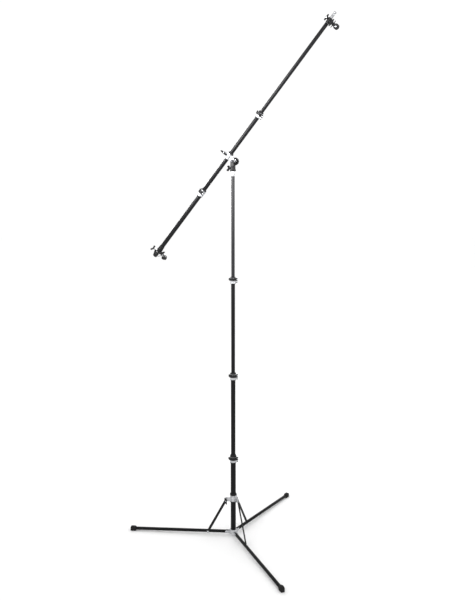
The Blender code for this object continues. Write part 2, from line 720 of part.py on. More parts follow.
def build_column(root):
    """Four nested tubes with their flip locks. Each section's frame rides on the one below it."""
    top_1 = LOCK_1_BASE + LOCK_1.collar
    top_2 = LOCK_2_BASE + LOCK_2.collar
    top_3 = LOCK_3_BASE + LOCK_3.collar
    tube("tube_1", TUBE_1_RADIUS, TUBE_1_WALL, HUB_FLOOR + GAP, top_1, root)
    section_2 = new_frame("column_section_2", root)
    section_3 = new_frame("column_section_3", section_2)
    section_4 = new_frame("column_section_4", section_3)
    tube("tube_2", TUBE_2_RADIUS, TUBE_2_WALL, LOCK_1_BASE - COLUMN_OVERLAP, top_2, section_2,
         TUBE_1_RADIUS - TUBE_1_WALL - RUNNING_GAP)
    tube("tube_3", TUBE_3_RADIUS, TUBE_3_WALL, LOCK_2_BASE - COLUMN_OVERLAP, top_3, section_3,
         TUBE_2_RADIUS - TUBE_2_WALL - RUNNING_GAP)
    tube("tube_4", TUBE_4_RADIUS, TUBE_4_WALL, LOCK_3_BASE - COLUMN_OVERLAP, COLUMN_TOP, section_4,
         TUBE_3_RADIUS - TUBE_3_WALL - RUNNING_GAP)
    flip_lock(1, TUBE_1_RADIUS, TUBE_2_RADIUS, LOCK_1,
              new_frame("lock_1_base", root, shift(z=LOCK_1_BASE)), Matrix())
    flip_lock(2, TUBE_2_RADIUS, TUBE_3_RADIUS, LOCK_2,
              new_frame("lock_2_base", section_2, shift(z=LOCK_2_BASE)), Matrix())
    flip_lock(3, TUBE_3_RADIUS, TUBE_4_RADIUS, LOCK_3,
              new_frame("lock_3_base", section_3, shift(z=LOCK_3_BASE)), Matrix())
    build_spigot(section_4)
    return section_4


def build_spigot(parent):
    """A plug in the top tube, a collar on its rim and the spigot that the head turns on."""
    plug = TUBE_4_RADIUS - TUBE_4_WALL - GAP
    collar = SPIGOT_COLLAR_HEIGHT
    tip = collar + SPIGOT_LENGTH
    profile = [(0.0, tip), (SPIGOT_RADIUS - 0.001, tip), (SPIGOT_RADIUS, tip - 0.001), (SPIGOT_RADIUS, collar),
               (SPIGOT_COLLAR_RADIUS - 0.0012, collar), (SPIGOT_COLLAR_RADIUS, collar - 0.0015),
               (SPIGOT_COLLAR_RADIUS, GAP), (plug, GAP), (plug, -SPIGOT_PLUG), (0.0, -SPIGOT_PLUG)]
    turned("top_spigot", profile, CAST_SILVER, parent, shift(z=COLUMN_TOP))


# Head

def tilt_height():
    return COLUMN_TOP + SPIGOT_COLLAR_HEIGHT + SOCKET_HEIGHT


def build_head(parent):
    """The fork that turns on the spigot. Its frame's origin is on the tilt bolt, whose axis is Y."""
    swivel = new_frame("head_swivel", parent, shift(z=tilt_height()) @ turn(BOOM_AZIMUTH, "Z"))
    foot = -SOCKET_HEIGHT + GAP
    bore = SPIGOT_RADIUS + RUNNING_GAP
    bore_top = -SOCKET_HEIGHT + SPIGOT_LENGTH + 0.001
    crown = -CROWN_DROP
    profile = [(0.0, crown), (SOCKET_RADIUS, crown), (SOCKET_RADIUS, foot + 2 * SOCKET_LIP_HEIGHT),
               (SOCKET_LIP_RADIUS, foot + SOCKET_LIP_HEIGHT), (SOCKET_LIP_RADIUS, foot), (bore, foot),
               (bore, bore_top), (0.0, bore_top)]
    socket = turned("head_socket", profile, BLACK_CAST, swivel)
    width = FORK_SLOT + 2 * TINE_THICKNESS
    low = -SLOT_DEPTH - 0.004
    outline = [(-FORK_RADIUS, low)] + [(FORK_RADIUS, low)] + arc((0.0, 0.0), FORK_RADIUS, 0.0, 180.0, 10)
    fork = slab("head_fork", [outline], width, BLACK_CAST, swivel, UPRIGHT)
    slot_height = SLOT_DEPTH + 3 * FORK_RADIUS
    slot = block("head_slot", (4 * SOCKET_RADIUS, FORK_SLOT, slot_height), BLACK_CAST, swivel,
                 shift(z=slot_height / 2 - SLOT_DEPTH))
    bolt_hole = rod("head_bolt_hole", BOLT_RADIUS + RUNNING_GAP, -width, width, BLACK_CAST, swivel, ALONG_Y)
    outward = turn(SOCKET_KNOB_AZIMUTH, "Z") @ shift(z=-SOCKET_KNOB_HEIGHT - 0.006) @ ALONG_X
    screw_hole = rod("socket_screw_hole", KNOB_SCREW_RADIUS + RUNNING_GAP, 0.0, 2 * SOCKET_RADIUS, BLACK_CAST,
                     swivel, outward)
    knob_seat = rod("socket_knob_seat", KNOB_HUB_RADIUS + GAP, SOCKET_RADIUS, 2 * SOCKET_RADIUS, BLACK_CAST,
                    swivel, outward)
    fuse(socket, fork)
    cut(socket, slot, bolt_hole, screw_hole, knob_seat)
    seat = SOCKET_RADIUS + 0.0008
    wing_knob("socket_knob", swivel, outward @ shift(z=seat) @ turn(45.0, "Z"), seat - (SPIGOT_RADIUS + GAP))
    build_tilt_bolt(swivel, width)
    return swivel


def build_tilt_bolt(swivel, fork_width):
    """The bolt's head is at -Y, and the round knob runs on its end at +Y."""
    head_face = fork_width / 2 + GAP
    washer_face = fork_width / 2 + GAP
    knob_face = washer_face + TILT_WASHER_THICKNESS + GAP
    tip = knob_face + TILT_KNOB_DEPTH * 0.7
    profile = [(0.0, tip), (BOLT_RADIUS, tip), (BOLT_RADIUS, -head_face), (BOLT_HEAD_RADIUS, -head_face),
               (BOLT_HEAD_RADIUS, -head_face - BOLT_HEAD_HEIGHT), (0.0, -head_face - BOLT_HEAD_HEIGHT)]
    turned("tilt_bolt", profile, BRIGHT_STEEL, swivel, ALONG_Y, SMALL_SIDES)
    bore = BOLT_RADIUS + RUNNING_GAP
    ring("tilt_washer", bore, TILT_WASHER_RADIUS, washer_face, washer_face + TILT_WASHER_THICKNESS,
         BRIGHT_STEEL, swivel, ALONG_Y)
    boss = BOLT_RADIUS * 2.2
    back = knob_face + TILT_KNOB_STANDOFF
    face = back + TILT_KNOB_DEPTH
    rim_inner = TILT_KNOB_RADIUS - TILT_KNOB_WALL
    web = face - TILT_KNOB_WALL
    profile = [(0.0, face), (TILT_KNOB_RADIUS * 0.85, face), (TILT_KNOB_RADIUS, face - 0.004),
               (TILT_KNOB_RADIUS, back), (rim_inner, back), (rim_inner, web), (boss, web), (boss, knob_face),
               (bore, knob_face), (bore, tip + GAP), (0.0, tip + GAP)]
    turned("tilt_knob", profile, BLACK_PLASTIC, swivel, ALONG_Y)


# Boom

def boom_matrix():
    """The boom's frame in the head's: Z along the boom, X square to it and up, origin on the bolt."""
    elevation = math.radians(BOOM_ELEVATION)
    along = Vector((math.cos(elevation), 0.0, math.sin(elevation)))
    up = Vector((-math.sin(elevation), 0.0, math.cos(elevation)))
    side = along.cross(up)
    matrix = Matrix.Identity(4)
    for column, axis in enumerate((up, side, along)):
        for row in range(3):
            matrix[row][column] = axis[row]
    return matrix


def build_sleeve(cradle):
    """The split sleeve. The boom runs at X = BOOM_OFFSET, along Z."""
    bore = BOOM_MIDDLE_RADIUS + RUNNING_GAP
    outer = bore + SLEEVE_WALL
    on_boom = shift(x=BOOM_OFFSET)
    sleeve = ring("boom_sleeve", bore, outer, SLEEVE_LOW, SLEEVE_HIGH, CAST_SILVER, cradle, on_boom)
    lug_back = BOOM_OFFSET - bore - 0.001
    outline = arc((0.0, 0.0), SLEEVE_LUG_RADIUS, 110.0, 250.0, 7)
    outline += [(lug_back, SLEEVE_LOW * 0.9), (lug_back, SLEEVE_HIGH * 0.9)]
    lug = slab("sleeve_lug", [outline], SLEEVE_LUG_THICKNESS, CAST_SILVER, cradle, UPRIGHT)
    hole = rod("sleeve_lug_hole", BOLT_RADIUS + RUNNING_GAP, -SLEEVE_LUG_THICKNESS, SLEEVE_LUG_THICKNESS,
               CAST_SILVER, cradle, ALONG_Y)
    middle = (SLEEVE_LOW + SLEEVE_HIGH) / 2
    ear_width = 2 * SLEEVE_EAR_THICKNESS + SLEEVE_SLIT
    on_screw = on_boom @ shift(x=SLEEVE_SCREW_OFFSET, z=middle) @ ALONG_Y
    ears = slab("sleeve_ears", [ear_outline(bore + 0.001, SLEEVE_SCREW_OFFSET, SLEEVE_EAR_RADIUS)], ear_width,
                CAST_SILVER, cradle, on_boom @ shift(z=middle) @ UPRIGHT)
    slit_reach = SLEEVE_SCREW_OFFSET + 2 * SLEEVE_EAR_RADIUS
    slit = block("sleeve_slit", (slit_reach, SLEEVE_SLIT, 2 * (SLEEVE_HIGH - SLEEVE_LOW)), CAST_SILVER,
                 cradle, on_boom @ shift(x=slit_reach / 2, z=middle))
    screw_hole = rod("sleeve_screw_hole", KNOB_SCREW_RADIUS + RUNNING_GAP, -ear_width, ear_width, CAST_SILVER,
                     cradle, on_screw)
    boss = rod("sleeve_boss", KNOB_HUB_RADIUS, SLEEVE_SLIT, SLEEVE_KNOB_SEAT, CAST_SILVER, cradle, on_screw)
    fuse(sleeve, lug, ears, boss)
    cut(sleeve, hole, slit, screw_hole)
    low = SLEEVE_HIGH + GAP
    profile = [(FLANGE_NECK_RADIUS, low + FLANGE_HEIGHT), (FLANGE_RADIUS, low + FLANGE_HEIGHT * 0.3),
               (FLANGE_RADIUS, low), (bore, low), (bore, low + FLANGE_HEIGHT)]
    turned("sleeve_flange", profile, BLACK_PLASTIC, cradle, on_boom, closed=True)
    seat = SLEEVE_KNOB_SEAT + GAP
    wing_knob("sleeve_knob", cradle, on_screw @ shift(z=seat), seat + ear_width / 2)


def build_boom(cradle):
    """Three nested tubes along Z at X = BOOM_OFFSET, with a flip lock on each larger tube's mouth."""
    middle = new_frame("boom_middle_slide", cradle, shift(x=BOOM_OFFSET))
    rear = new_frame("boom_rear_slide", middle)
    front = new_frame("boom_front_slide", middle)
    rear_mouth = LOCK_4_BASE + LOCK_4.collar
    middle_mouth = LOCK_5_BASE + LOCK_5.collar
    tube("boom_rear_tube", BOOM_REAR_RADIUS, BOOM_WALL, BOOM_REAR_END, rear_mouth, rear)
    tube("boom_middle_tube", BOOM_MIDDLE_RADIUS, BOOM_WALL, LOCK_4_BASE - BOOM_OVERLAP, middle_mouth, middle)
    tube("boom_front_tube", BOOM_FRONT_RADIUS, BOOM_WALL, LOCK_5_BASE - BOOM_OVERLAP, BOOM_FRONT_END, front,
         BOOM_MIDDLE_RADIUS - BOOM_WALL - RUNNING_GAP * 0.5)
    half_turn = turn(180.0, "Z")
    flip_lock(4, BOOM_REAR_RADIUS, BOOM_MIDDLE_RADIUS, LOCK_4,
              new_frame("lock_4_base", rear, shift(z=LOCK_4_BASE) @ half_turn), Matrix())
    flip_lock(5, BOOM_MIDDLE_RADIUS, BOOM_FRONT_RADIUS, LOCK_5,
              new_frame("lock_5_base", middle, shift(z=LOCK_5_BASE) @ half_turn), Matrix())
    return rear, front


# Ends of the boom

def build_front_end(front):
    """The stud in the front tube, and the bracket that is clamped on it. X points to the clip."""
    end = new_frame("front_end", front, shift(z=BOOM_FRONT_END) @ turn(180.0, "Z"))
    plug = BOOM_FRONT_RADIUS - BOOM_WALL - GAP
    neck = STUD_LENGTH * 0.82
    groove = STUD_RADIUS - STUD_GROOVE
    profile = [(0.0, STUD_LENGTH), (STUD_RADIUS - 0.0012, STUD_LENGTH), (STUD_RADIUS, STUD_LENGTH - 0.0012),
               (STUD_RADIUS, neck + 0.005), (groove, neck + 0.003), (groove, neck - 0.003),
               (STUD_RADIUS, neck - 0.005), (STUD_RADIUS, GAP), (plug, GAP), (plug, -STUD_PLUG),
               (0.0, -STUD_PLUG)]
    turned("boom_stud", profile, BRIGHT_STEEL, end)
    bracket_frame = new_frame("front_bracket_turn", end, shift(z=2 * GAP))
    bore = STUD_RADIUS + RUNNING_GAP
    bracket = ring("front_bracket", bore, BRACKET_RADIUS, 0.0, BRACKET_LENGTH, BLACK_CAST, bracket_frame)
    across = shift(z=BRACKET_LENGTH / 2) @ ALONG_X
    clip_boss = rod("front_clip_boss", BRACKET_BOSS_RADIUS, bore + 0.001, BRACKET_BOSS_REACH, BLACK_CAST,
                    bracket_frame, across, SIDES)
    on_screw = shift(x=-BRACKET_SCREW_OFFSET, z=BRACKET_SCREW_ALONG) @ UPRIGHT
    ear_width = 2 * BRACKET_EAR_THICKNESS + BRACKET_SLIT
    ears = slab("front_ears", [ear_outline(bore + 0.001, BRACKET_SCREW_OFFSET, BRACKET_EAR_RADIUS)], ear_width,
                BLACK_CAST, bracket_frame, shift(z=BRACKET_SCREW_ALONG) @ turn(180.0, "Z") @ UPRIGHT)
    slit_reach = BRACKET_SCREW_OFFSET + 2 * BRACKET_EAR_RADIUS
    slit = block("front_slit", (slit_reach, BRACKET_SLIT, 4 * BRACKET_LENGTH), BLACK_CAST, bracket_frame,
                 shift(x=-slit_reach / 2))
    knob_boss = rod("front_knob_boss", KNOB_HUB_RADIUS * END_KNOB_SIZE, BRACKET_SLIT, BRACKET_KNOB_SEAT,
                    BLACK_CAST, bracket_frame, on_screw)
    hole = rod("front_screw_hole", KNOB_SCREW_RADIUS + RUNNING_GAP, -ear_width, 2 * BRACKET_KNOB_SEAT,
               BLACK_CAST, bracket_frame, on_screw)
    shaft_bore = clip_shaft_bore("front", bracket_frame, across @ shift(z=BRACKET_BOSS_REACH))
    fuse(bracket, clip_boss, ears, knob_boss)
    cut(bracket, slit, hole, shaft_bore)
    seat = BRACKET_KNOB_SEAT + GAP
    wing_knob("front_knob", bracket_frame, on_screw @ shift(z=seat) @ turn(90.0, "Z"), seat + ear_width / 2,
              END_KNOB_SIZE)
    build_clip("front", bracket_frame, across @ shift(z=BRACKET_BOSS_REACH) @ turn(90.0, "Z"))


def build_rear_end(rear):
    """The bracket on the rear tube's end, with its empty receiver. Z points away from the boom."""
    end = new_frame("rear_end", rear, shift(z=BOOM_REAR_END) @ turn(180.0, "X") @ turn(180.0, "Z"))
    bore = BOOM_REAR_RADIUS + GAP
    wall = 0.0015
    profile = [(0.0, REAR_BODY_LENGTH), (REAR_CONE_RADIUS * 0.8, REAR_BODY_LENGTH),
               (REAR_CONE_RADIUS, REAR_BODY_LENGTH * 0.6), (REAR_CONE_RADIUS, 0.0),
               (bore + wall, -REAR_CONE_LENGTH), (bore, -REAR_CONE_LENGTH), (bore, GAP), (0.0, GAP)]
    bracket = turned("rear_bracket", profile, BLACK_CAST, end)
    eye_place = shift(x=-RECEIVER_OFFSET, z=RECEIVER_ALONG)
    eye = rod("rear_receiver", RECEIVER_RADIUS, -RECEIVER_LENGTH / 2, RECEIVER_LENGTH / 2, BLACK_CAST, end,
              eye_place @ ALONG_Y, SIDES)
    web_length = RECEIVER_ALONG - REAR_BODY_LENGTH * 0.4
    web = block("rear_web", (2 * RECEIVER_OFFSET, RECEIVER_LENGTH * 0.8, web_length), BLACK_CAST, end,
                shift(z=RECEIVER_ALONG - web_length / 2 + 0.010))
    lug = block("rear_lug", (0.022, RECEIVER_LENGTH * 0.7, 0.026), BLACK_CAST, end,
                shift(x=-RECEIVER_OFFSET + 0.007, z=RECEIVER_ALONG + RECEIVER_RADIUS + 0.0065))
    across = shift(z=REAR_CLIP_ALONG) @ turn(REAR_CLIP_SLANT, "Y") @ ALONG_X
    boss = rod("rear_clip_boss", BRACKET_BOSS_RADIUS, 0.0, REAR_BOSS_REACH, BLACK_CAST, end, across, SIDES)
    shaft_bore = clip_shaft_bore("rear", end, across @ shift(z=REAR_BOSS_REACH))
    receiver_bore = rod("rear_receiver_bore", STUD_RADIUS + RUNNING_GAP, -RECEIVER_LENGTH, RECEIVER_LENGTH,
                        BLACK_CAST, end, eye_place @ ALONG_Y, SIDES)
    outward = eye_place @ turn(180.0, "Z") @ ALONG_X
    hole = rod("rear_screw_hole", KNOB_SCREW_RADIUS + RUNNING_GAP, 0.0, 2 * RECEIVER_RADIUS, BLACK_CAST, end,
               outward)
    fuse(bracket, web, lug, eye, boss)
    weld(cut(bracket, receiver_bore, hole, shaft_bore))
    seat = RECEIVER_RADIUS + REAR_KNOB_STANDOFF
    wing_knob("rear_knob", end, outward @ shift(z=seat) @ turn(REAR_KNOB_TURN, "Z"), seat - STUD_RADIUS,
              END_KNOB_SIZE)
    build_clip("rear", end, across @ shift(z=REAR_BOSS_REACH))


def clip_shaft_bore(end_name, parent, matrix):
    return rod(f"{end_name}_shaft_bore", CLIP_SHAFT_RADIUS + RUNNING_GAP, -CLIP_SHAFT_LENGTH - GAP,
               CLIP_SHAFT_LENGTH, BLACK_CAST, parent, matrix)


def build_clip(end_name, parent, matrix):
    """A spring clip whose stem turns about Z on the bracket's boss. Its jaws open along X."""
    frame = new_frame(f"{end_name}_clip_turn", parent, matrix)
    stem_top = GAP + CLIP_STEM_HEIGHT
    profile = [(0.0, stem_top), (CLIP_STEM_RADIUS, stem_top), (CLIP_STEM_RADIUS, GAP),
               (CLIP_SHAFT_RADIUS, GAP), (CLIP_SHAFT_RADIUS, -CLIP_SHAFT_LENGTH), (0.0, -CLIP_SHAFT_LENGTH)]
    base = turned(f"{end_name}_clip_base", profile, BLACK_CAST, frame)
    inner_width = CLIP_NECK_WIDTH + 2 * GAP
    width = inner_width + 2 * CLIP_CHEEK_THICKNESS
    back = CLIP_KNUCKLE_RADIUS + 2 * GAP
    outline = [(back + 0.002, stem_top - 0.001), (back + 0.002, CLIP_PIN_REACH + 0.003)]
    outline += arc((0.0, CLIP_PIN_REACH), CLIP_KNUCKLE_RADIUS, 30.0, 180.0, 6)
    outline += [(-CLIP_KNUCKLE_RADIUS, stem_top - 0.001)]
    cheeks = slab(f"{end_name}_clip_cheeks", [outline], width, BLACK_CAST, frame, UPRIGHT)
    room_height = 2 * CLIP_PIN_REACH
    room_length = 4 * CLIP_KNUCKLE_RADIUS
    room = block(f"{end_name}_clip_room", (room_length, inner_width, room_height), BLACK_CAST, frame,
                 shift(x=back - room_length / 2, z=stem_top + room_height / 2))
    half_pin = width / 2 + 2 * GAP
    pin = rod(f"{end_name}_clip_pin", CLIP_PIN_RADIUS, -half_pin, half_pin, BLACK_CAST, frame,
              shift(z=CLIP_PIN_REACH) @ ALONG_Y)
    fixed = clip_strip(f"{end_name}_clip_fixed", frame, Matrix(), 1.0, back + CLIP_STRIP / 2, width)
    fuse(base, cheeks)
    cut(base, room)
    fuse(base, pin, fixed)
    jaw_frame = new_frame(f"{end_name}_clip_pivot", frame, shift(z=CLIP_PIN_REACH))
    near = CLIP_KNUCKLE_RADIUS - CLIP_STRIP / 2
    jaw = clip_strip(f"{end_name}_clip_jaw", jaw_frame, shift(z=-CLIP_PIN_REACH), -1.0, near, CLIP_NECK_WIDTH)
    knuckle = rod(f"{end_name}_clip_knuckle", CLIP_KNUCKLE_RADIUS, -CLIP_NECK_WIDTH / 2, CLIP_NECK_WIDTH / 2,
                  BLACK_PLASTIC, jaw_frame, ALONG_Y)
    hole = rod(f"{end_name}_clip_hole", CLIP_PIN_RADIUS + RUNNING_GAP, -CLIP_NECK_WIDTH, CLIP_NECK_WIDTH,
               BLACK_PLASTIC, jaw_frame, ALONG_Y)
    fuse(jaw, knuckle)
    cut(jaw, hole)


def clip_strip(name, parent, matrix, side, near, neck_width):
    """One bowed jaw with its splayed handle and round pad, on the given side of X.

    Its strip passes the pin at the distance near.
    """
    bend = (CLIP_PIN_REACH - CLIP_BEND_DROP, 0.008)
    middle_line = [(CLIP_HANDLE_START, CLIP_SPLAY), bend, (CLIP_PIN_REACH, near)]
    steps = 6
    bow_start = CLIP_PIN_REACH + 0.003
    for step in range(steps + 1):
        share = step / steps
        along = bow_start + (CLIP_LENGTH - bow_start) * share
        bow = CLIP_BOW * math.sin(math.pi * (0.22 + 0.78 * share))
        middle_line.append((along, bow + CLIP_STRIP / 2 + GAP))
    outer = [(across + CLIP_STRIP / 2, along) for along, across in middle_line]
    inner = [(across - CLIP_STRIP / 2, along) for along, across in reversed(middle_line)]
    outline = [(side * across, along) for across, along in outer + inner]
    strip = slab(name, [outline], 2 * CLIP_HANDLE_WIDTH, BLACK_PLASTIC, parent, matrix @ UPRIGHT)
    pad = arc((0.0, CLIP_PAD_REACH), CLIP_PAD_RADIUS, -45.0, 225.0, 9)
    neck = neck_width / 2
    handle = CLIP_HANDLE_WIDTH / 2
    start = CLIP_HANDLE_START - 0.003
    neck_start = CLIP_PIN_REACH - CLIP_SHOULDER_DROP
    left = [(-neck, CLIP_PIN_REACH + 0.005), (-neck, neck_start), (-handle, neck_start - 0.002),
            (-handle, start)]
    right = [(-y, z) for y, z in reversed(left)]
    face = slab(name + "_face", [pad + left + right], 4 * CLIP_SPLAY, BLACK_PLASTIC, parent,
                matrix @ turn(90.0, "Z") @ UPRIGHT)
    return common(strip, face)


def main():
    root = new_frame("stand_root")
    build_hub(root)
    for number, azimuth in enumerate(LEG_AZIMUTHS, 1):
        build_leg(number, azimuth, root)
    build_leg_collar(root)
    top_section = build_column(root)
    swivel = build_head(top_section)
    cradle = new_frame("boom_tilt", swivel, boom_matrix())
    build_sleeve(cradle)
    rear, front = build_boom(cradle)
    build_front_end(front)
    build_rear_end(rear)


main()
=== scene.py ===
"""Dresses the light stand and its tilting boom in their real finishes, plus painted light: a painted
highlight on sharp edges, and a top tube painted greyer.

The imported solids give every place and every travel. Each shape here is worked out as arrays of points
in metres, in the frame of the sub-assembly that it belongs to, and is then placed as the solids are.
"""

import logging
import math
import sys
from dataclasses import dataclass, field
from enum import Enum

import bpy
import numpy as np
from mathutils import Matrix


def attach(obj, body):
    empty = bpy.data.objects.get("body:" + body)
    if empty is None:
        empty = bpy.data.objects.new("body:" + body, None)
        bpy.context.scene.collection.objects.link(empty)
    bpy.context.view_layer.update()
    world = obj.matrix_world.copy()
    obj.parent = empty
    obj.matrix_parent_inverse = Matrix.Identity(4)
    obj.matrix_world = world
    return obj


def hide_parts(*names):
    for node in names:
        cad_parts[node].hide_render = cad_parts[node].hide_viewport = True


LOG = logging.getLogger("light_stand")

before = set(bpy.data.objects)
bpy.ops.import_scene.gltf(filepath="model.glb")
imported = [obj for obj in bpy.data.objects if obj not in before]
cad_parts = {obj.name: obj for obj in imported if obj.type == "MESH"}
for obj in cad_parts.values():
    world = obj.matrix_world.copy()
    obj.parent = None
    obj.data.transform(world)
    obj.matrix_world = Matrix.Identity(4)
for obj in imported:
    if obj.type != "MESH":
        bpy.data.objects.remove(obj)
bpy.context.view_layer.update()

GAP = 0.0003
RUNNING_GAP = 0.00035
FLOOR_DROP = 0.018
ROUND_SIDES = 64
SMALL_ROUND_SIDES = 32
MAX_SMOOTH_ANGLE = math.radians(38.0)
POLE = 0.0004               # radius at which a solid profile meets its axis


# Placing: 4 x 4 matrices

def shift(x: float = 0.0, y: float = 0.0, z: float = 0.0) -> np.ndarray:
    """A matrix that moves by (x, y, z)."""
    matrix = np.eye(4)
    matrix[:3, 3] = (x, y, z)
    return matrix


def turn(degrees: float, axis: str) -> np.ndarray:
    """A matrix that turns by an angle about X, Y or Z, right-handed."""
    first, second = {"X": (1, 2), "Y": (2, 0), "Z": (0, 1)}[axis]
    angle = math.radians(degrees)
    matrix = np.eye(4)
    matrix[first, first] = matrix[second, second] = math.cos(angle)
    matrix[second, first] = math.sin(angle)
    matrix[first, second] = -math.sin(angle)
    return matrix


ALONG_X = turn(90.0, "Y")
ALONG_Y = turn(-90.0, "X")
UPRIGHT = turn(90.0, "X")


# Outlines: closed loops or open lines of (k, 2) points

def arc(centre: tuple[float, float], radius: float, start: float, end: float, steps: int = 16) -> np.ndarray:
    """Points on a circle from start to end, in degrees, with both ends."""
    angle = np.radians(np.linspace(start, end, steps + 1))
    return np.column_stack((centre[0] + radius * np.cos(angle), centre[1] + radius * np.sin(angle)))


def rounded(corners: list | np.ndarray, cut: float | list, closed: bool = True, steps: int = 4) -> np.ndarray:
    """Rounds the corners of a line.

    Each corner P becomes the parabola (1-u)^2 A + 2u(1-u) P + u^2 B, where A and B lie on its two
    edges at the distance cut from P, or at just under half of a shorter edge.

    Args:
        corners: (k, 2) points.
        cut: one distance, or one for each corner.
        closed: whether the last point joins the first.
        steps: pieces of each parabola.

    Returns:
        (n, 2) points.
    """
    points = np.asarray(corners, dtype=float)
    to_last = np.roll(points, 1, axis=0) - points
    to_next = np.roll(points, -1, axis=0) - points
    last_length = np.linalg.norm(to_last, axis=1)
    next_length = np.linalg.norm(to_next, axis=1)
    reach = np.minimum(np.broadcast_to(np.asarray(cut, dtype=float), last_length.shape),
                       0.49 * np.minimum(last_length, next_length))
    if not closed:
        reach = reach.copy()
        reach[[0, -1]] = 0.0
    before = points + to_last * (reach / last_length)[:, None]
    after = points + to_next * (reach / next_length)[:, None]
    u = np.linspace(0.0, 1.0, steps + 1)[None, :, None]
    curve = (1 - u) ** 2 * before[:, None] + 2 * u * (1 - u) * points[:, None] + u ** 2 * after[:, None]
    line = curve.reshape(-1, 2)
    step = np.linalg.norm(line - np.roll(line, 1, axis=0), axis=1)
    keep = step > 1e-7
    if not closed:
        keep[0] = True
    return line[keep]


def inset(outline: np.ndarray, distance: float) -> np.ndarray:
    """Moves each point of a closed loop inwards along the mean normal of its two edges."""
    edge = np.roll(outline, -1, axis=0) - outline
    edge /= np.linalg.norm(edge, axis=1)[:, None]
    normal = np.column_stack((-edge[:, 1], edge[:, 0]))
    mean = normal + np.roll(normal, 1, axis=0)
    mean /= np.maximum(np.sum(mean * mean, axis=1)[:, None] / 2.0, 0.5)
    x, y = outline[:, 0], outline[:, 1]
    turned_left = np.sum(x * np.roll(y, -1) - y * np.roll(x, -1)) > 0.0
    return outline + mean * (distance if turned_left else -distance)


def superellipse(sides: int, across: float, up: float) -> tuple[np.ndarray, np.ndarray]:
    """Both coordinates of a squared circle: sign(cos a) |cos a|^across and sign(sin a) |sin a|^up."""
    angle = np.linspace(0.0, 2.0 * np.pi, sides, endpoint=False)
    c, s = np.cos(angle), np.sin(angle)
    return np.sign(c) * np.abs(c) ** across, np.sign(s) * np.abs(s) ** up


def eased(share: np.ndarray) -> np.ndarray:
    """A smooth step from 0 to 1: 3 u^2 - 2 u^3."""
    return share ** 2 * (3.0 - 2.0 * share)


def ear_outline(back: float, reach: float, radius: float, lift: float = 0.0) -> np.ndarray:
    """A plate that runs out to a pin and ends in a half circle round it."""
    end = arc((reach, lift), radius, -90.0, 90.0)
    return np.vstack(([[back, lift - radius]], end, [[back, lift + radius]]))


# Surfaces

@dataclass
class Surface:
    """A closed shell: points, four-cornered faces with a UV pair in metres for each corner, and end caps."""

    points: np.ndarray
    quads: np.ndarray
    uv: np.ndarray
    caps: list[np.ndarray] = field(default_factory=list)

    def placed(self, matrix: np.ndarray) -> "Surface":
        """The same shell moved and turned by a matrix."""
        points = self.points @ matrix[:3, :3].T + matrix[:3, 3]
        return Surface(points, self.quads, self.uv, self.caps)

    def volume(self) -> float:
        """The enclosed volume, a sixth of the sum of p0 . (p1 x p2) over all triangles."""
        triangles = [self.quads[:, [0, 1, 2]], self.quads[:, [0, 2, 3]]]
        for cap in self.caps:
            fan = np.column_stack((np.full(len(cap) - 2, cap[0]), cap[1:-1], cap[2:]))
            triangles.append(fan)
        p = self.points[np.vstack(triangles)]
        return float(np.einsum("ij,ij->i", p[:, 0], np.cross(p[:, 1], p[:, 2])).sum() / 6.0)

    def outward(self) -> "Surface":
        """The same shell with its faces pointing outwards."""
        if self.volume() >= 0.0:
            return self
        return Surface(self.points, self.quads[:, ::-1], self.uv[:, ::-1], [cap[::-1] for cap in self.caps])


def skin(rows: np.ndarray, ring: bool = False) -> Surface:
    """Joins rows of closed loops into a shell.

    Args:
        rows: (m, n, 3) points: m loops of n points each.
        ring: whether the last loop joins the first. Otherwise each end is closed by a cap.

    Returns:
        The shell. Its UV runs round the loops, and along the rows, in metres.
    """
    count, sides = rows.shape[:2]
    i = np.arange(count if ring else count - 1)[:, None]
    j = np.arange(sides)[None, :]
    following, beside = (i + 1) % count, (j + 1) % sides
    quads = np.stack((i * sides + j, i * sides + beside, following * sides + beside, following * sides + j),
                     axis=-1).reshape(-1, 4)
    step = np.linalg.norm(np.roll(rows, -1, axis=1) - rows, axis=2).mean(axis=0)
    around = np.concatenate(([0.0], np.cumsum(step)))
    rise = np.linalg.norm(np.roll(rows, -1, axis=0) - rows, axis=2).mean(axis=1)
    along = np.concatenate(([0.0], np.cumsum(rise)))
    u = np.stack((around[j], around[j + 1], around[j + 1], around[j]), axis=-1)
    v = np.stack((along[i], along[i], along[i + 1], along[i + 1]), axis=-1)
    uv = np.stack(np.broadcast_arrays(u, v), axis=-1).reshape(-1, 4, 2)
    caps = [] if ring else [np.arange(sides)[::-1], np.arange(sides) + (count - 1) * sides]
    return Surface(rows.reshape(-1, 3), quads, uv, caps).outward()


def revolved(profile: np.ndarray | list, sides: int = ROUND_SIDES, ring: bool = False,
             lobes: int = 0, depth: float = 0.0) -> Surface:
    """A profile of (radius, height) points turned about Z.

    Point (r, h) at the angle a goes to (r cos a, r sin a, h). With lobes, r is cut by
    depth * (1 - cos(lobes * a)) / 2 wherever r is more than three quarters of the largest radius.
    """
    line = np.asarray(profile, dtype=float)
    angle = np.linspace(0.0, 2.0 * np.pi, sides, endpoint=False)
    radius = np.repeat(line[:, :1], sides, axis=1)
    share = np.clip(radius / line[:, 0].max() * 4.0 - 3.0, 0.0, 1.0)
    radius = radius - share * depth * (1.0 - np.cos(lobes * angle))[None, :] / 2.0
    height = np.repeat(line[:, 1:], sides, axis=1)
    return skin(np.stack((radius * np.cos(angle), radius * np.sin(angle), height), axis=-1), ring)


def rod(radius: float, low: float, high: float, edge: float = 0.0003,
        sides: int = SMALL_ROUND_SIDES) -> Surface:
    """A round bar along Z with softened rims."""
    profile = [(radius - edge, low), (radius, low + edge), (radius, high - edge), (radius - edge, high)]
    return revolved(profile, sides)


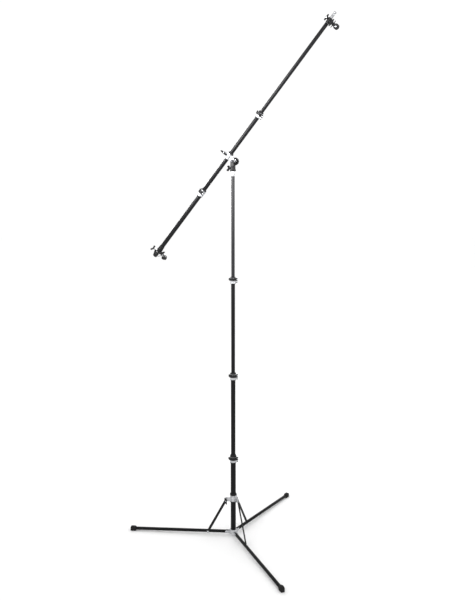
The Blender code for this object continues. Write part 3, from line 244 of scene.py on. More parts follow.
def hollow(inner: float, outer: float, low: float, high: float, edge: float = 0.0004,
           sides: int = ROUND_SIDES) -> Surface:
    """A plain ring or tube about Z with softened rims."""
    profile = rounded([(outer, low), (outer, high), (inner, high), (inner, low)], edge, steps=2)
    return revolved(profile, sides, ring=True)


def split_ring(profile: np.ndarray, start: float, end: float, steps: int = 72) -> Surface:
    """A closed profile of (radius, height) points carried round Z from start to end, in degrees."""
    angle = np.radians(np.linspace(start, end, steps + 1))[:, None]
    radius, height = profile[:, 0][None, :], profile[:, 1][None, :]
    rows = np.stack(np.broadcast_arrays(radius * np.cos(angle), radius * np.sin(angle), height), axis=-1)
    return skin(rows)


def plate(outline: np.ndarray, thickness: float, edge: float = 0.0006, steps: int = 3) -> Surface:
    """A flat outline in XY, thickened evenly along Z.

    Its rims are quarter circles of the radius edge: at the angle a the outline is drawn in by
    edge * (1 - sin a), and lies edge * (1 - cos a) inside the face.
    """
    a = np.linspace(0.0, np.pi / 2.0, steps + 1)
    drawn = edge * (1.0 - np.sin(a))
    height = -thickness / 2.0 + edge * (1.0 - np.cos(a))
    levels = np.concatenate((height, -height[::-1]))
    insets = np.concatenate((drawn, drawn[::-1]))
    rows = [np.column_stack((inset(outline, d), np.full(len(outline), z))) for d, z in zip(insets, levels)]
    return skin(np.stack(rows))


def block(size: tuple[float, float, float], cut: float = 0.002) -> Surface:
    """A brick centred on the origin with all its edges rounded."""
    x, y = size[0] / 2.0, size[1] / 2.0
    outline = rounded([(-x, -y), (x, -y), (x, y), (-x, y)], cut)
    return plate(outline, size[2], cut * 0.6)


def strip(line: np.ndarray, width: np.ndarray, thickness: float | np.ndarray,
          corner: float = 0.0008) -> Surface:
    """A bent strip: a rounded rectangle carried along a line in the XZ plane.

    At each point of the line the rectangle spans the line's normal, by the thickness, and Y, by the
    width given there.
    """
    thick = np.broadcast_to(np.asarray(thickness, dtype=float), (len(line),))
    tangent = np.gradient(line, axis=0)
    tangent /= np.linalg.norm(tangent, axis=1)[:, None]
    normal = np.column_stack((-tangent[:, 1], tangent[:, 0]))
    half = float(thick.max()) / 2.0
    section = rounded([(-half, -1.0), (half, -1.0), (half, 1.0), (-half, 1.0)], corner, steps=3)
    flat = (thick / thick.max())[:, None]
    side = np.sign(section[:, 1])
    rim = np.abs(section[:, 1]) - 1.0
    rows = np.empty((len(line), len(section), 3))
    rows[..., 0] = line[:, :1] + normal[:, :1] * section[None, :, 0] * flat
    rows[..., 2] = line[:, 1:] + normal[:, 1:] * section[None, :, 0] * flat
    rows[..., 1] = side[None, :] * (width[:, None] / 2.0) + (side * rim)[None, :]
    return skin(rows)


# Finishes

def linear(code: str) -> tuple[float, float, float, float]:
    """An sRGB hex colour as linear red, green, blue and full alpha."""
    value = np.array([int(code[k:k + 2], 16) for k in (1, 3, 5)]) / 255.0
    light = np.where(value <= 0.04045, value / 12.92, ((value + 0.055) / 1.055) ** 2.4)
    return (*(float(channel) for channel in light), 1.0)


def add_node(tree: bpy.types.NodeTree, kind: str, settings: dict | None = None,
             inputs: dict | None = None) -> bpy.types.Node:
    """Adds a node, sets its properties, and sets or links its input sockets."""
    node = tree.nodes.new(kind)
    for name, value in (settings or {}).items():
        setattr(node, name, value)
    for name, value in (inputs or {}).items():
        if isinstance(value, bpy.types.NodeSocket):
            tree.links.new(value, node.inputs[name])
        else:
            node.inputs[name].default_value = value
    return node


class Grain(Enum):
    """How a surface was made, which sets the way its pattern runs."""

    DRAWN = "lines along the tube, on its UV map"
    TURNED = "fine rings round the axis, on its UV map"
    EVEN = "grain alike in all directions, on Object coordinates"


@dataclass(frozen=True)
class Finish:
    """One finish, with an optional painted highlight on its sharp edges. Grain size and depth are in metres.
    """

    name: str
    slot: str
    colour: str
    worn_colour: str
    metallic: float
    roughness: float
    grain: Grain
    grain_size: float
    grain_depth: float
    roughness_swing: float = 0.08
    # Share of light grey painted on sharp edges: a painted highlight.
    edge_sheen: float = 0.0
    specular: float = 0.5

    def material(self) -> bpy.types.Material:
        """The finish as a material, made once."""
        made = bpy.data.materials.get(self.name)
        if made is not None:
            return made
        made = bpy.data.materials.new(self.name)
        made.use_nodes = True
        tree = made.node_tree
        shader = tree.nodes["Principled BSDF"]
        shader.inputs["Metallic"].default_value = self.metallic
        shader.inputs["Specular IOR Level"].default_value = self.specular
        place = add_node(tree, "ShaderNodeTexCoord")
        stretch = {Grain.DRAWN: (1.0, 0.012, 1.0), Grain.TURNED: (0.02, 1.0, 1.0),
                   Grain.EVEN: (1.0, 1.0, 1.0)}[self.grain]
        scale = tuple(share / self.grain_size for share in stretch)
        source = place.outputs["Object" if self.grain is Grain.EVEN else "UV"]
        fine_place = add_node(tree, "ShaderNodeMapping", inputs={"Vector": source, "Scale": scale})
        fine = add_node(tree, "ShaderNodeTexNoise", inputs={
            "Vector": fine_place.outputs["Vector"], "Scale": 1.0, "Detail": 3.0, "Roughness": 0.6})
        broad = add_node(tree, "ShaderNodeTexNoise", inputs={
            "Vector": place.outputs["Object"], "Scale": BROAD_PATCHES, "Detail": 2.0})
        both = add_node(tree, "ShaderNodeMath", {"operation": "MULTIPLY"}, {
            0: fine.outputs["Fac"], 1: broad.outputs["Fac"]})
        tone = add_node(tree, "ShaderNodeMapRange", inputs={
            "Value": both.outputs["Value"], "From Min": 0.12, "From Max": 0.42})
        mix = add_node(tree, "ShaderNodeMix", {"data_type": "RGBA"}, {
            0: tone.outputs["Result"], 6: linear(self.colour), 7: linear(self.worn_colour)})
        colour = mix.outputs[2]
        # Painted highlight: sharp edges, found by Pointiness, are mixed towards light grey.
        if self.edge_sheen > 0.0:
            geometry = add_node(tree, "ShaderNodeNewGeometry")
            edges = add_node(tree, "ShaderNodeMapRange", inputs={
                "Value": geometry.outputs["Pointiness"], "From Min": 0.53, "From Max": 0.60,
                "To Max": self.edge_sheen})
            highlit = add_node(tree, "ShaderNodeMix", {"data_type": "RGBA"}, {
                0: edges.outputs["Result"], 6: colour, 7: linear(EDGE_HIGHLIGHT_GREY)})
            colour = highlit.outputs[2]
        rough = add_node(tree, "ShaderNodeMapRange", inputs={
            "Value": fine.outputs["Fac"], "From Min": 0.3, "From Max": 0.7,
            "To Min": self.roughness - self.roughness_swing, "To Max": self.roughness + self.roughness_swing})
        bump = add_node(tree, "ShaderNodeBump", inputs={
            "Strength": 1.0, "Distance": self.grain_depth, "Height": fine.outputs["Fac"]})
        tree.links.new(colour, shader.inputs["Base Color"])
        tree.links.new(rough.outputs["Result"], shader.inputs["Roughness"])
        tree.links.new(bump.outputs["Normal"], shader.inputs["Normal"])
        return made


BROAD_PATCHES = 22.0        # patches a metre: each about 45 mm, as handling leaves them
EDGE_HIGHLIGHT_GREY = "#8f9092"       # light grey painted on sharp edges as a painted highlight

# Drawn 6063 aluminium tube, dyed black in the anodising bath: satin, with faint lines along it
ANODISED = Finish("black_anodised_tube", "black_tube", "#0e0e0f", "#141416", 0.0, 0.36, Grain.DRAWN,
                  0.0007, 0.000004, 0.07, specular=0.11)
# The same on the top tube, painted a shade greyer and with more specular: painted light for the brighter
# light at the top of the column
TOP_TUBE_LIGHTER_ANODISED = Finish("top_tube_anodised_painted_lighter", "black_tube", "#1b1b1d", "#252527", 0.0, 0.42, Grain.DRAWN,
                         0.0007, 0.000004, 0.07, specular=0.2)
# Pressure die-cast aluminium, tumbled and lacquered silver: pale, with a soft broken sheen
SILVER_CASTING = Finish("tumbled_aluminium_casting", "cast_silver", "#b4b5b8", "#bfc0c2", 0.8, 0.36,
                        Grain.EVEN, 0.0011, 0.00004, 0.07)
# Zinc casting under black powder coat: a low orange-peel gloss, with a painted highlight of grey on its edges
BLACK_CASTING = Finish("powder_coated_casting", "black_casting", "#0b0b0c", "#121213", 0.0, 0.42,
                       Grain.EVEN, 0.0013, 0.00006, 0.06, edge_sheen=0.25, specular=0.18)
# Flat steel bar, rolled and stove enamelled black, with a painted highlight of grey on its edges
ENAMELLED_BAR = Finish("enamelled_steel_bar", "black_strut", "#101011", "#161617", 0.0, 0.36,
                       Grain.EVEN, 0.0016, 0.00003, 0.06, edge_sheen=0.2, specular=0.18)
# Glass-filled nylon from a spark-eroded mould: an even dry grain, with a painted highlight of faint grey on
# its edges
NYLON = Finish("moulded_nylon", "black_nylon", "#0d0d0e", "#141416", 0.0, 0.5,
               Grain.EVEN, 0.0006, 0.00005, 0.08, edge_sheen=0.12, specular=0.2)
# Moulded EPDM rubber: matt, with a trace of bloom
RUBBER = Finish("moulded_rubber", "black_rubber", "#101010", "#191919", 0.0, 0.82,
                Grain.EVEN, 0.0012, 0.00008, 0.08, specular=0.3)
# Steel turned on a lathe, then bright zinc plated
ZINC_STEEL = Finish("bright_zinc_steel", "zinc_steel", "#b4b7ba", "#c6c8ca", 1.0, 0.24,
                    Grain.TURNED, 0.0004, 0.000006, 0.06)
# Steel stud turned and nickel plated, dulled by clamps: darker than bare aluminium
PLATED_STUD = Finish("dulled_nickel_stud", "chrome_stud", "#8b8c8e", "#a6a7a9", 1.0, 0.3,
                     Grain.TURNED, 0.0005, 0.000008, 0.06)
# Steel fastener under black oxide: a dark satin that keeps a metal's glint
BLACKED_STEEL = Finish("black_oxide_steel", "black_casting", "#2a2a2c", "#353538", 1.0, 0.38,
                       Grain.EVEN, 0.0006, 0.000008, 0.06)
# Aluminium bar turned on a lathe and left bright
TURNED_BAR = Finish("turned_aluminium_bar", "chrome_stud", "#b4b5b8", "#c8c8ca", 1.0, 0.27,
                    Grain.TURNED, 0.0005, 0.000008, 0.06)


# Pieces

@dataclass(frozen=True)
class Fuse:
    """Melts overlapping shells into one casting: a voxel skin, then rounds of smoothing for its fillets."""

    voxel: float = 0.0007
    rounds: int = 7


def piece(name: str, surfaces: list[Surface], finish: Finish, body: str, nodes: list[str],
          matrix: np.ndarray = np.eye(4), fuse: Fuse | None = None) -> bpy.types.Object:
    """Makes one visible piece.

    Args:
        name: the piece's name.
        surfaces: its shells, in the frame of their sub-assembly.
        finish: its finish.
        body: the body that it rides on.
        nodes: the solids that it stands for.
        matrix: that frame in the row frame.
        fuse: how its shells are melted together, if they are.

    Returns:
        The object, at the origin, with its place in its mesh.
    """
    points: list[np.ndarray] = []
    faces: list[list[int]] = []
    corners: list[np.ndarray] = []
    start = 0
    for surface in surfaces:
        shell = surface.placed(matrix).outward()
        points.append(shell.points)
        faces.extend((shell.quads + start).tolist())
        corners.append(shell.uv.reshape(-1, 2))
        for cap in shell.caps:
            faces.append((cap + start).tolist())
            flat = surface.points[cap][:, :2]
            corners.append(flat)
        start += len(shell.points)
    mesh = bpy.data.meshes.new(name)
    mesh.from_pydata(np.vstack(points), [], faces)
    layer = mesh.uv_layers.new(name="UVMap")
    layer.uv.foreach_set("vector", np.vstack(corners).astype(np.float32).ravel())
    mesh.polygons.foreach_set("use_smooth", np.ones(len(mesh.polygons), dtype=bool))
    if fuse is None:
        mesh.set_sharp_from_angle(angle=MAX_SMOOTH_ANGLE)
    mesh.materials.append(finish.material())
    obj = bpy.data.objects.new(name, mesh)
    bpy.context.scene.collection.objects.link(obj)
    if fuse is not None:
        melt = obj.modifiers.new("Melt", "REMESH")
        melt.mode = "VOXEL"
        melt.voxel_size = fuse.voxel
        melt.use_smooth_shade = True
        soften = obj.modifiers.new("Soften", "SMOOTH")
        soften.factor = 0.5
        soften.iterations = fuse.rounds
    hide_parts(*nodes)
    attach(obj, body)
    LOG.info("%s: %d shells, %s, on %s", name, len(surfaces), finish.name, body)
    return obj


def pan_head(radius: float, low: float, height: float) -> Surface:
    """A rivet's domed head: radius * cos a against low + height * sin a, with a flat middle."""
    a = np.radians(np.linspace(0.0, 78.0, 7))
    profile = np.column_stack((radius * np.cos(a), low + height * np.sin(a)))
    return revolved(np.vstack(([[radius, low - 0.0003]], profile)), SMALL_ROUND_SIDES)


def rivet(width: float, shank: float, head: float, height: float) -> list[Surface]:
    """A rivet along Z across a width, with a domed head at each end."""
    end = pan_head(head, width / 2.0, height)
    return [rod(shank, -width / 2.0, width / 2.0), end, end.placed(turn(180.0, "X"))]


def hexagon(across: float, low: float, high: float) -> Surface:
    """A nut or bolt head about Z: six sides, with the corners turned off at both ends."""
    corner = across / math.sqrt(3.0)
    flat = across / 2.0 * 0.97
    angle = np.linspace(0.0, 2.0 * np.pi, 48, endpoint=False)
    nearest = (angle + np.pi / 6.0) % (np.pi / 3.0) - np.pi / 6.0
    side = across / 2.0 / np.cos(nearest)
    side = np.minimum(side, corner)
    rim = np.minimum(side, flat)
    slope = 0.0006
    rows = []
    for height, radius in ((low, rim), (low + slope, side), (high - slope, side), (high, rim)):
        x, y = radius * np.cos(angle), radius * np.sin(angle)
        rows.append(np.column_stack((x, y, np.full_like(angle, height))))
    return skin(np.stack(rows))


@dataclass(frozen=True)
class WingKnob:
    """A moulded wing knob on its screw. Z points out of the piece that it clamps."""

    name: str
    body: str
    screw_length: float
    size: float = 1.0
    span: float = 0.050
    lobe: float = 0.0085
    rise: float = 0.013
    end_thickness: float = 0.0050
    middle_thickness: float = 0.0120
    hub_radius: float = 0.0075
    hub_height: float = 0.015
    screw_radius: float = 0.003

    def wings(self) -> Surface:
        """Both wings as one lens.

        Across the span x the lower and upper edges run through the root and round each lobe, and
        the section between them is a superellipse, thinner towards the ends.
        """
        half = self.span / 2.0 * self.size
        lobe = self.lobe * self.size
        rise = self.rise * self.size
        x = half * np.sin(np.linspace(-np.pi / 2.0, np.pi / 2.0, 61)) * 0.9995
        out = np.abs(x)
        centre = half - lobe
        ball = np.sqrt(np.maximum(lobe ** 2 - np.maximum(out - centre, 0.0) ** 2, 0.0))
        inner = np.clip(out / centre, 0.0, 1.0)
        ease = eased(inner)
        waist = self.hub_height * self.size * 0.86
        top = np.where(out < centre, waist + (rise + lobe - waist) * ease, rise + ball)
        root = 0.0025 * self.size
        low = np.where(out < centre, root + (rise - lobe - root) * ease, rise - ball)
        swell = 1.0 - (out / half) ** 2
        thick = (self.end_thickness + (self.middle_thickness - self.end_thickness) * swell) * self.size
        closing = np.sqrt(np.clip((half - out) / (0.12 * half), 0.0, 1.0))
        c, s = superellipse(40, 0.62, 0.62)
        rows = np.empty((len(x), len(c), 3))
        rows[..., 0] = x[:, None]
        rows[..., 1] = c[None, :] * (thick * closing)[:, None] / 2.0
        rows[..., 2] = (top + low)[:, None] / 2.0 + s[None, :] * (top - low)[:, None] / 2.0
        return skin(rows)

    def build(self, matrix: np.ndarray) -> None:
        """Makes the moulding and its screw."""
        hub, height = self.hub_radius * self.size, self.hub_height * self.size
        body = revolved(rounded([(hub, 0.0), (hub, height * 0.86), (hub * 0.62, height), (0.0002, height)],
                                0.0014, closed=False), ROUND_SIDES)
        piece(self.name + "_moulding", [body, self.wings()], NYLON, self.body, [self.name], matrix,
              Fuse(0.0005, 5))
        turns = np.arange(0.0, self.screw_length - 0.001, 0.0005)
        depth = 0.0003 * (np.arange(len(turns)) % 2)
        thread = np.column_stack((self.screw_radius - depth, -turns))
        shank = revolved(np.vstack((thread, [[self.screw_radius - 0.0008, -self.screw_length]])),
                         SMALL_ROUND_SIDES)
        cap = pan_head(hub * 0.5, height, 0.0008)
        piece(self.name + "_screw", [shank, cap], ZINC_STEEL, self.body, [self.name], matrix)


def straight_tube(name: str, body: str, radius: float, wall: float, low: float, high: float,
                  matrix: np.ndarray = np.eye(4), glide: float | None = None,
                  finish: Finish = ANODISED) -> None:
    """A drawn tube along Z. One that slides in a larger tube has a nylon glide round its foot."""
    tube = hollow(radius - wall, radius, low, high, min(0.0004, wall * 0.4))
    piece(name + "_drawn", [tube], finish, body, [name], matrix)
    if glide is not None:
        foot = hollow(radius + 0.00005, glide, low, low + 0.018, 0.0005)
        piece(name + "_glide", [foot], NYLON, body, [name], matrix)


@dataclass(frozen=True)
class FlipLock:
    """A split collar on a tube's mouth, its flared bush, and the lever that closes it."""

    number: int
    body: str
    outer: float
    inner: float
    skirt: float
    lever: float
    rim: float
    bush: float
    wall: float = 0.0045
    slit: float = 0.002
    clearance: float = 0.0012
    lever_thickness: float = 0.006
    tab_flare: float = 0.0035
    barrel: float = 0.0055
    ear: float = 0.005
    pin: float = 0.002
    nut: float = 0.0042
    nut_height: float = 0.004
    pin_azimuth: float = -15.0
    pin_standoff: float = 0.0015
    lip: float = 0.003
    bare_rim: float = 0.0

    @property
    def height(self) -> float:
        """The collar's whole height."""
        return self.skirt + self.lever + self.rim

    @property
    def radius(self) -> float:
        """The collar's outer radius."""
        return self.outer + RUNNING_GAP + self.wall

    @property
    def pin_reach(self) -> float:
        """How far the hinge pin stands from the tube's axis."""
        return self.radius + self.barrel + self.pin_standoff

    @property
    def cap_low(self) -> float:
        """Where the bush's skirt starts, over the lever and what shows of the casting's rim."""
        return self.skirt + self.lever + 2 * GAP + self.bare_rim

    @property
    def ear_span(self) -> tuple[float, float]:
        """Low and high end of the ear that the lever's two lugs close round."""
        return self.skirt + self.lever * 0.32, self.skirt + self.lever * 0.68

    def collar(self) -> list[Surface]:
        """The split ring with a bead round its lower rim, and its two hinge ears."""
        bore, out, bead, top = self.outer + RUNNING_GAP, self.radius, self.radius + 0.0006, self.cap_low - GAP
        low = self.lip + GAP
        section = rounded([(bore, low), (bead, low), (bead, low + 0.0026), (out, low + 0.0034), (out, top),
                           (bore, top)], 0.0007, steps=3)
        opening = math.degrees(self.slit / 2.0 / out)
        shells = [split_ring(section, 45.0 + opening, 405.0 - opening)]
        outline = ear_outline(self.radius - 0.002, self.pin_reach, self.ear)
        foot = self.skirt * 0.55
        for low, high in ((foot, self.skirt - GAP), self.ear_span):
            shells.append(plate(outline, high - low, 0.0006).placed(shift(z=(low + high) / 2.0)))
        web = rounded([(self.radius - 0.002, low + 0.001), (self.radius + 0.0035, foot),
                       (self.radius - 0.002, foot + 0.004)], 0.001)
        shells.append(plate(web, 0.004, 0.0008).placed(UPRIGHT))
        for side in (-1.0, 1.0):
            lug = block((0.0024, 0.0030, top - low - 0.002), 0.0009)
            shells.append(lug.placed(turn(45.0 + side * (opening + 4.2), "Z")
                                     @ shift(x=self.radius + 0.0004, z=(low + top) / 2.0)))
        return shells

    def band(self) -> Surface:
        """The lever's band.

        Over the angle a, from the hinge to the tab, the middle radius swings outwards by
        flare * s(a), and the section is a superellipse as high as the lever, thinner and lower
        towards the tab. Three low ridges across the tab give the finger its grip.
        """
        a = np.linspace(15.0, 171.0, 90)
        near = self.radius + self.clearance
        share = np.clip((a - 138.0) / 33.0, 0.0, 1.0)
        ease = eased(share)
        thick = self.lever_thickness * (1.0 - 0.42 * ease)
        start = np.clip((a - 15.0) / 14.0, 0.0, 1.0)
        tall = self.lever * (1.0 - 0.42 * ease ** 2) * (0.86 + 0.14 * start ** 0.5)
        ridges = 0.00035 * (1.0 - np.cos((a - 140.0) / 26.0 * 6.0 * np.pi))
        grip = np.where((a > 140.0) & (a < 166.0), ridges, 0.0)
        middle = near + thick / 2.0 + (self.tab_flare + 0.0022) * ease
        closing = np.sqrt(np.clip((171.4 - a) / 4.0, 0.0, 1.0))
        c, s = superellipse(48, 0.55, 0.42)
        radius = middle[:, None] + c[None, :] * (thick * closing)[:, None] / 2.0
        radius = radius + np.where(c > 0.5, 1.0, 0.0)[None, :] * grip[:, None]
        height = self.skirt + self.lever / 2.0 + s[None, :] * (tall * (0.5 + 0.5 * closing))[:, None] / 2.0
        angle = -np.radians(a)[:, None]
        return skin(np.stack((radius * np.cos(angle), radius * np.sin(angle), height), axis=-1))

    def lugs(self) -> list[Surface]:
        """The lever's upper and lower barrel, each with the bridge that joins it to the band."""
        near = self.radius + self.clearance
        far = near + self.lever_thickness
        shells = []
        ear_low, ear_high = self.ear_span
        for low, high in ((self.skirt, ear_low - 2 * GAP), (ear_high + 2 * GAP, self.skirt + self.lever)):
            shells.append(rod(self.barrel, low, high, 0.0007).placed(shift(x=self.pin_reach)))
            x, y = math.cos(math.radians(-24.0)), math.sin(math.radians(-24.0))
            bridge = rounded([(self.pin_reach - 0.0035, -0.0010), (near * x, near * y), (far * x, far * y),
                              (self.pin_reach + self.barrel * 0.9, -0.0010)], 0.0008)
            tall = (high - low) * 0.94
            shells.append(plate(bridge, tall, 0.0007).placed(shift(z=(low + high) / 2.0)))
        return shells

    def build(self, matrix: np.ndarray) -> None:
        """Makes the lock. Z = 0 of the matrix's frame is the collar's lower rim."""
        name = f"lock_{self.number}"
        aimed = matrix @ turn(self.pin_azimuth, "Z")
        piece(name + "_casting", self.collar(), SILVER_CASTING, self.body, [name + "_collar"], aimed,
              Fuse(0.0006, 5))
        piece(name + "_handle", [self.band()] + self.lugs(), NYLON, name + "_lever", [name + "_lever"], aimed,
              Fuse(0.0006, 5))
        rim = self.height + GAP
        top = rim + self.bush
        bore = self.inner + RUNNING_GAP
        brim = self.radius + 0.0004
        profile = rounded([(bore, self.cap_low), (brim, self.cap_low), (brim, rim - 0.0006),
                           (self.radius - self.wall * 0.4, rim + self.bush * 0.35),
                           (bore + 0.0018, top), (bore, top)], 0.0008, steps=5)
        piece(name + "_guide", [revolved(profile, ring=True)], NYLON, self.body, [name + "_bush"], matrix)
        sleeve = self.outer + RUNNING_GAP
        edge = self.radius - 0.0008
        lip = rounded([(sleeve, 0.0), (edge - 0.0006, 0.0), (edge, self.lip), (sleeve, self.lip)], 0.0007,
                      steps=4)
        piece(name + "_lip", [revolved(lip, ring=True)], NYLON, self.body, [name + "_collar"], matrix)
        nut_top = self.skirt * 0.55 - GAP
        head_low = self.skirt + self.lever + GAP
        pin = [rod(self.pin, nut_top - self.nut_height - 0.0008, head_low),
               pan_head(self.nut * 0.85, head_low, 0.0018)]
        on_pin = aimed @ shift(x=self.pin_reach)
        piece(name + "_hinge_pin", pin, ZINC_STEEL, self.body, [name + "_pin"], on_pin)
        nut = hexagon(self.nut * 1.8, nut_top - self.nut_height, nut_top)
        piece(name + "_nut", [nut], BLACKED_STEEL, self.body, [name + "_pin"], on_pin)


LEG_AZIMUTHS = (174.0, -66.0, 54.0)


@dataclass(frozen=True)
class Base:
    """The bottom casting and the three legs with their boots."""

    column_radius: float = 0.0175
    leg_radius: float = 0.0105
    leg_wall: float = 0.0012
    pin_reach: float = 0.046
    pin_height: float = 0.009
    foot_reach: float = 0.693
    foot_axis_height: float = 0.0155
    foot_length: float = 0.034
    foot_width: float = 0.030
    foot_height: float = 0.031
    foot_end_wall: float = 0.007
    tongue_thickness: float = 0.014
    tongue_radius: float = 0.0087
    tube_start: float = 0.012
    hub_radius: float = 0.0265
    hub_height: float = 0.029
    hub_floor: float = 0.004
    ear_thickness: float = 0.0045
    ear_radius: float = 0.009

    @property
    def droop(self) -> float:
        """How far each leg falls below the horizontal, in degrees."""
        fall = self.pin_height - (self.foot_axis_height - FLOOR_DROP)
        return math.degrees(math.asin(fall / (self.foot_reach - self.pin_reach)))

    @property
    def leg_end(self) -> float:
        """Distance from the leg's pin to its tube's outer end."""
        run = (self.foot_reach - self.pin_reach) / math.cos(math.radians(self.droop))
        return run + self.foot_length / 2.0 - self.foot_end_wall

    def leg_matrix(self, azimuth: float) -> np.ndarray:
        """A leg's frame: the origin on its pin, and X along its tube."""
        return turn(azimuth, "Z") @ shift(x=self.pin_reach, z=self.pin_height) @ turn(self.droop, "Y")

    def hub(self) -> None:
        """The bottom casting: a cup for the column, with a pair of ears and a rib for each leg."""
        bore = self.column_radius + RUNNING_GAP
        profile = rounded([(POLE, 0.0), (self.hub_radius, 0.0), (self.hub_radius, self.hub_height * 0.6),
                           (self.hub_radius * 0.88, self.hub_height), (bore, self.hub_height),
                           (bore, self.hub_floor), (POLE, self.hub_floor)], 0.0016, closed=False)
        shells = [revolved(profile)]
        outline = rounded(ear_outline(self.column_radius + 0.001, self.pin_reach, self.ear_radius,
                                      self.pin_height), 0.001)
        side = self.tongue_thickness / 2.0 + GAP + self.ear_thickness / 2.0
        pins: list[Surface] = []
        for azimuth in LEG_AZIMUTHS:
            aim = turn(azimuth, "Z")
            for way in (-1.0, 1.0):
                ear = plate(outline, self.ear_thickness, 0.0010)
                shells.append(ear.placed(aim @ shift(y=way * side) @ UPRIGHT))
                boss = revolved([(0.0072, -0.0006), (0.0072, 0.0004), (0.0064, 0.0008)], SMALL_ROUND_SIDES)
                face = way * (side + self.ear_thickness / 2.0)
                on_ear = shift(x=self.pin_reach, y=face, z=self.pin_height)
                shells.append(boss.placed(aim @ on_ear @ turn(-way * 90.0, "X")))
            floor = block((0.014, 2.0 * side, 0.0042), 0.0012)
            shells.append(floor.placed(aim @ shift(x=0.0285, z=0.0027)))
            rib = rounded([(self.hub_radius - 0.003, 0.002), (self.hub_radius + 0.0035, 0.002),
                           (self.hub_radius + 0.0025, 0.016), (self.hub_radius - 0.003, 0.021)], 0.0015)
            shells.append(plate(rib, 0.004, 0.0010).placed(turn(azimuth + 60.0, "Z") @ UPRIGHT))
            width = 2.0 * side + self.ear_thickness + 0.0012
            pin_place = aim @ shift(x=self.pin_reach, z=self.pin_height) @ ALONG_Y
            pins += [shell.placed(pin_place) for shell in rivet(width, 0.003, 0.005, 0.0013)]
        piece("hub_casting", shells, SILVER_CASTING, "base", ["base_hub"], fuse=Fuse(0.0008, 7))
        piece("hub_pins", pins, ZINC_STEEL, "base", ["base_hub"])

    def leg(self, number: int, azimuth: float) -> None:
        """A leg tube, the nylon tongue in its inner end and the rubber boot on its foot."""
        body, name = f"leg_{number}", f"leg_{number}"
        matrix = self.leg_matrix(azimuth)
        tube = hollow(self.leg_radius - self.leg_wall, self.leg_radius, self.tube_start + 0.0015,
                      self.leg_end)
        piece(name + "_drawn", [tube], ANODISED, body, [name], matrix @ ALONG_X)
        outline = ear_outline(-(self.tube_start + 0.004), 0.0, self.tongue_radius)
        tongue = plate(outline, self.tongue_thickness, 0.0010).placed(turn(180.0, "Z") @ UPRIGHT)
        shoulder = revolved(rounded([(POLE, 0.009), (0.0078, 0.0095), (self.leg_radius, 0.0118),
                                     (self.leg_radius, self.tube_start + 0.0014),
                                     (POLE, self.tube_start + 0.0014)], 0.0009, closed=False))
        piece(name + "_tongue", [tongue, shoulder.placed(ALONG_X)], NYLON, body, [name], matrix,
              Fuse(0.0006, 4))
        self.boot(number, azimuth)

    def boot(self, number: int, azimuth: float) -> None:
        """A rubber boot, flat underneath with four treads, and with a lip round the tube.

        The body is a superellipse in each section across the leg, drawn in towards both ends, with
        four raised ribs round its middle: half-waves of a cosine along the boot.
        """
        along = np.linspace(-1.0, 1.0, 81)
        past = along - 0.05
        ribs = 0.035 * np.maximum(np.cos(past * 7.0 * np.pi), 0.0) ** 0.6 * (np.abs(past) < 0.5)
        pull = 0.985 - 0.16 * np.abs(along) ** 6 - 0.05 * (along + 1.0) / 2.0 + ribs
        c, s = superellipse(64, 0.42, 0.42)
        half_height = self.foot_height / 2.0
        rows = np.empty((len(along), len(c), 3))
        rows[..., 0] = along[:, None] * self.foot_length / 2.0
        rows[..., 1] = c[None, :] * (pull * self.foot_width / 2.0)[:, None]
        lift = np.where(s < 0.0, 1.0, pull[:, None] * 0.98)
        rows[..., 2] = s[None, :] * half_height * lift
        groove = 0.0011 * (np.cos(along * 4.0 * np.pi) > 0.0)[:, None] * (s < -0.96)[None, :]
        rows[..., 2] += groove * (np.abs(along) < 0.9)[:, None]
        place = turn(azimuth, "Z") @ shift(x=self.foot_reach, z=half_height - FLOOR_DROP)
        lip = hollow(self.leg_radius + GAP, self.leg_radius + 0.0032, -0.0035, 0.003, 0.0009)
        start = self.leg_end + self.foot_end_wall - self.foot_length
        lip = lip.placed(np.linalg.inv(place) @ self.leg_matrix(azimuth) @ shift(x=start) @ ALONG_X)
        piece(f"foot_{number}_boot", [skin(rows), lip], RUBBER, f"leg_{number}", [f"foot_{number}"], place)

    def build(self) -> None:
        """Makes the casting and the legs."""
        self.hub()
        for number, azimuth in enumerate(LEG_AZIMUTHS, 1):
            self.leg(number, azimuth)


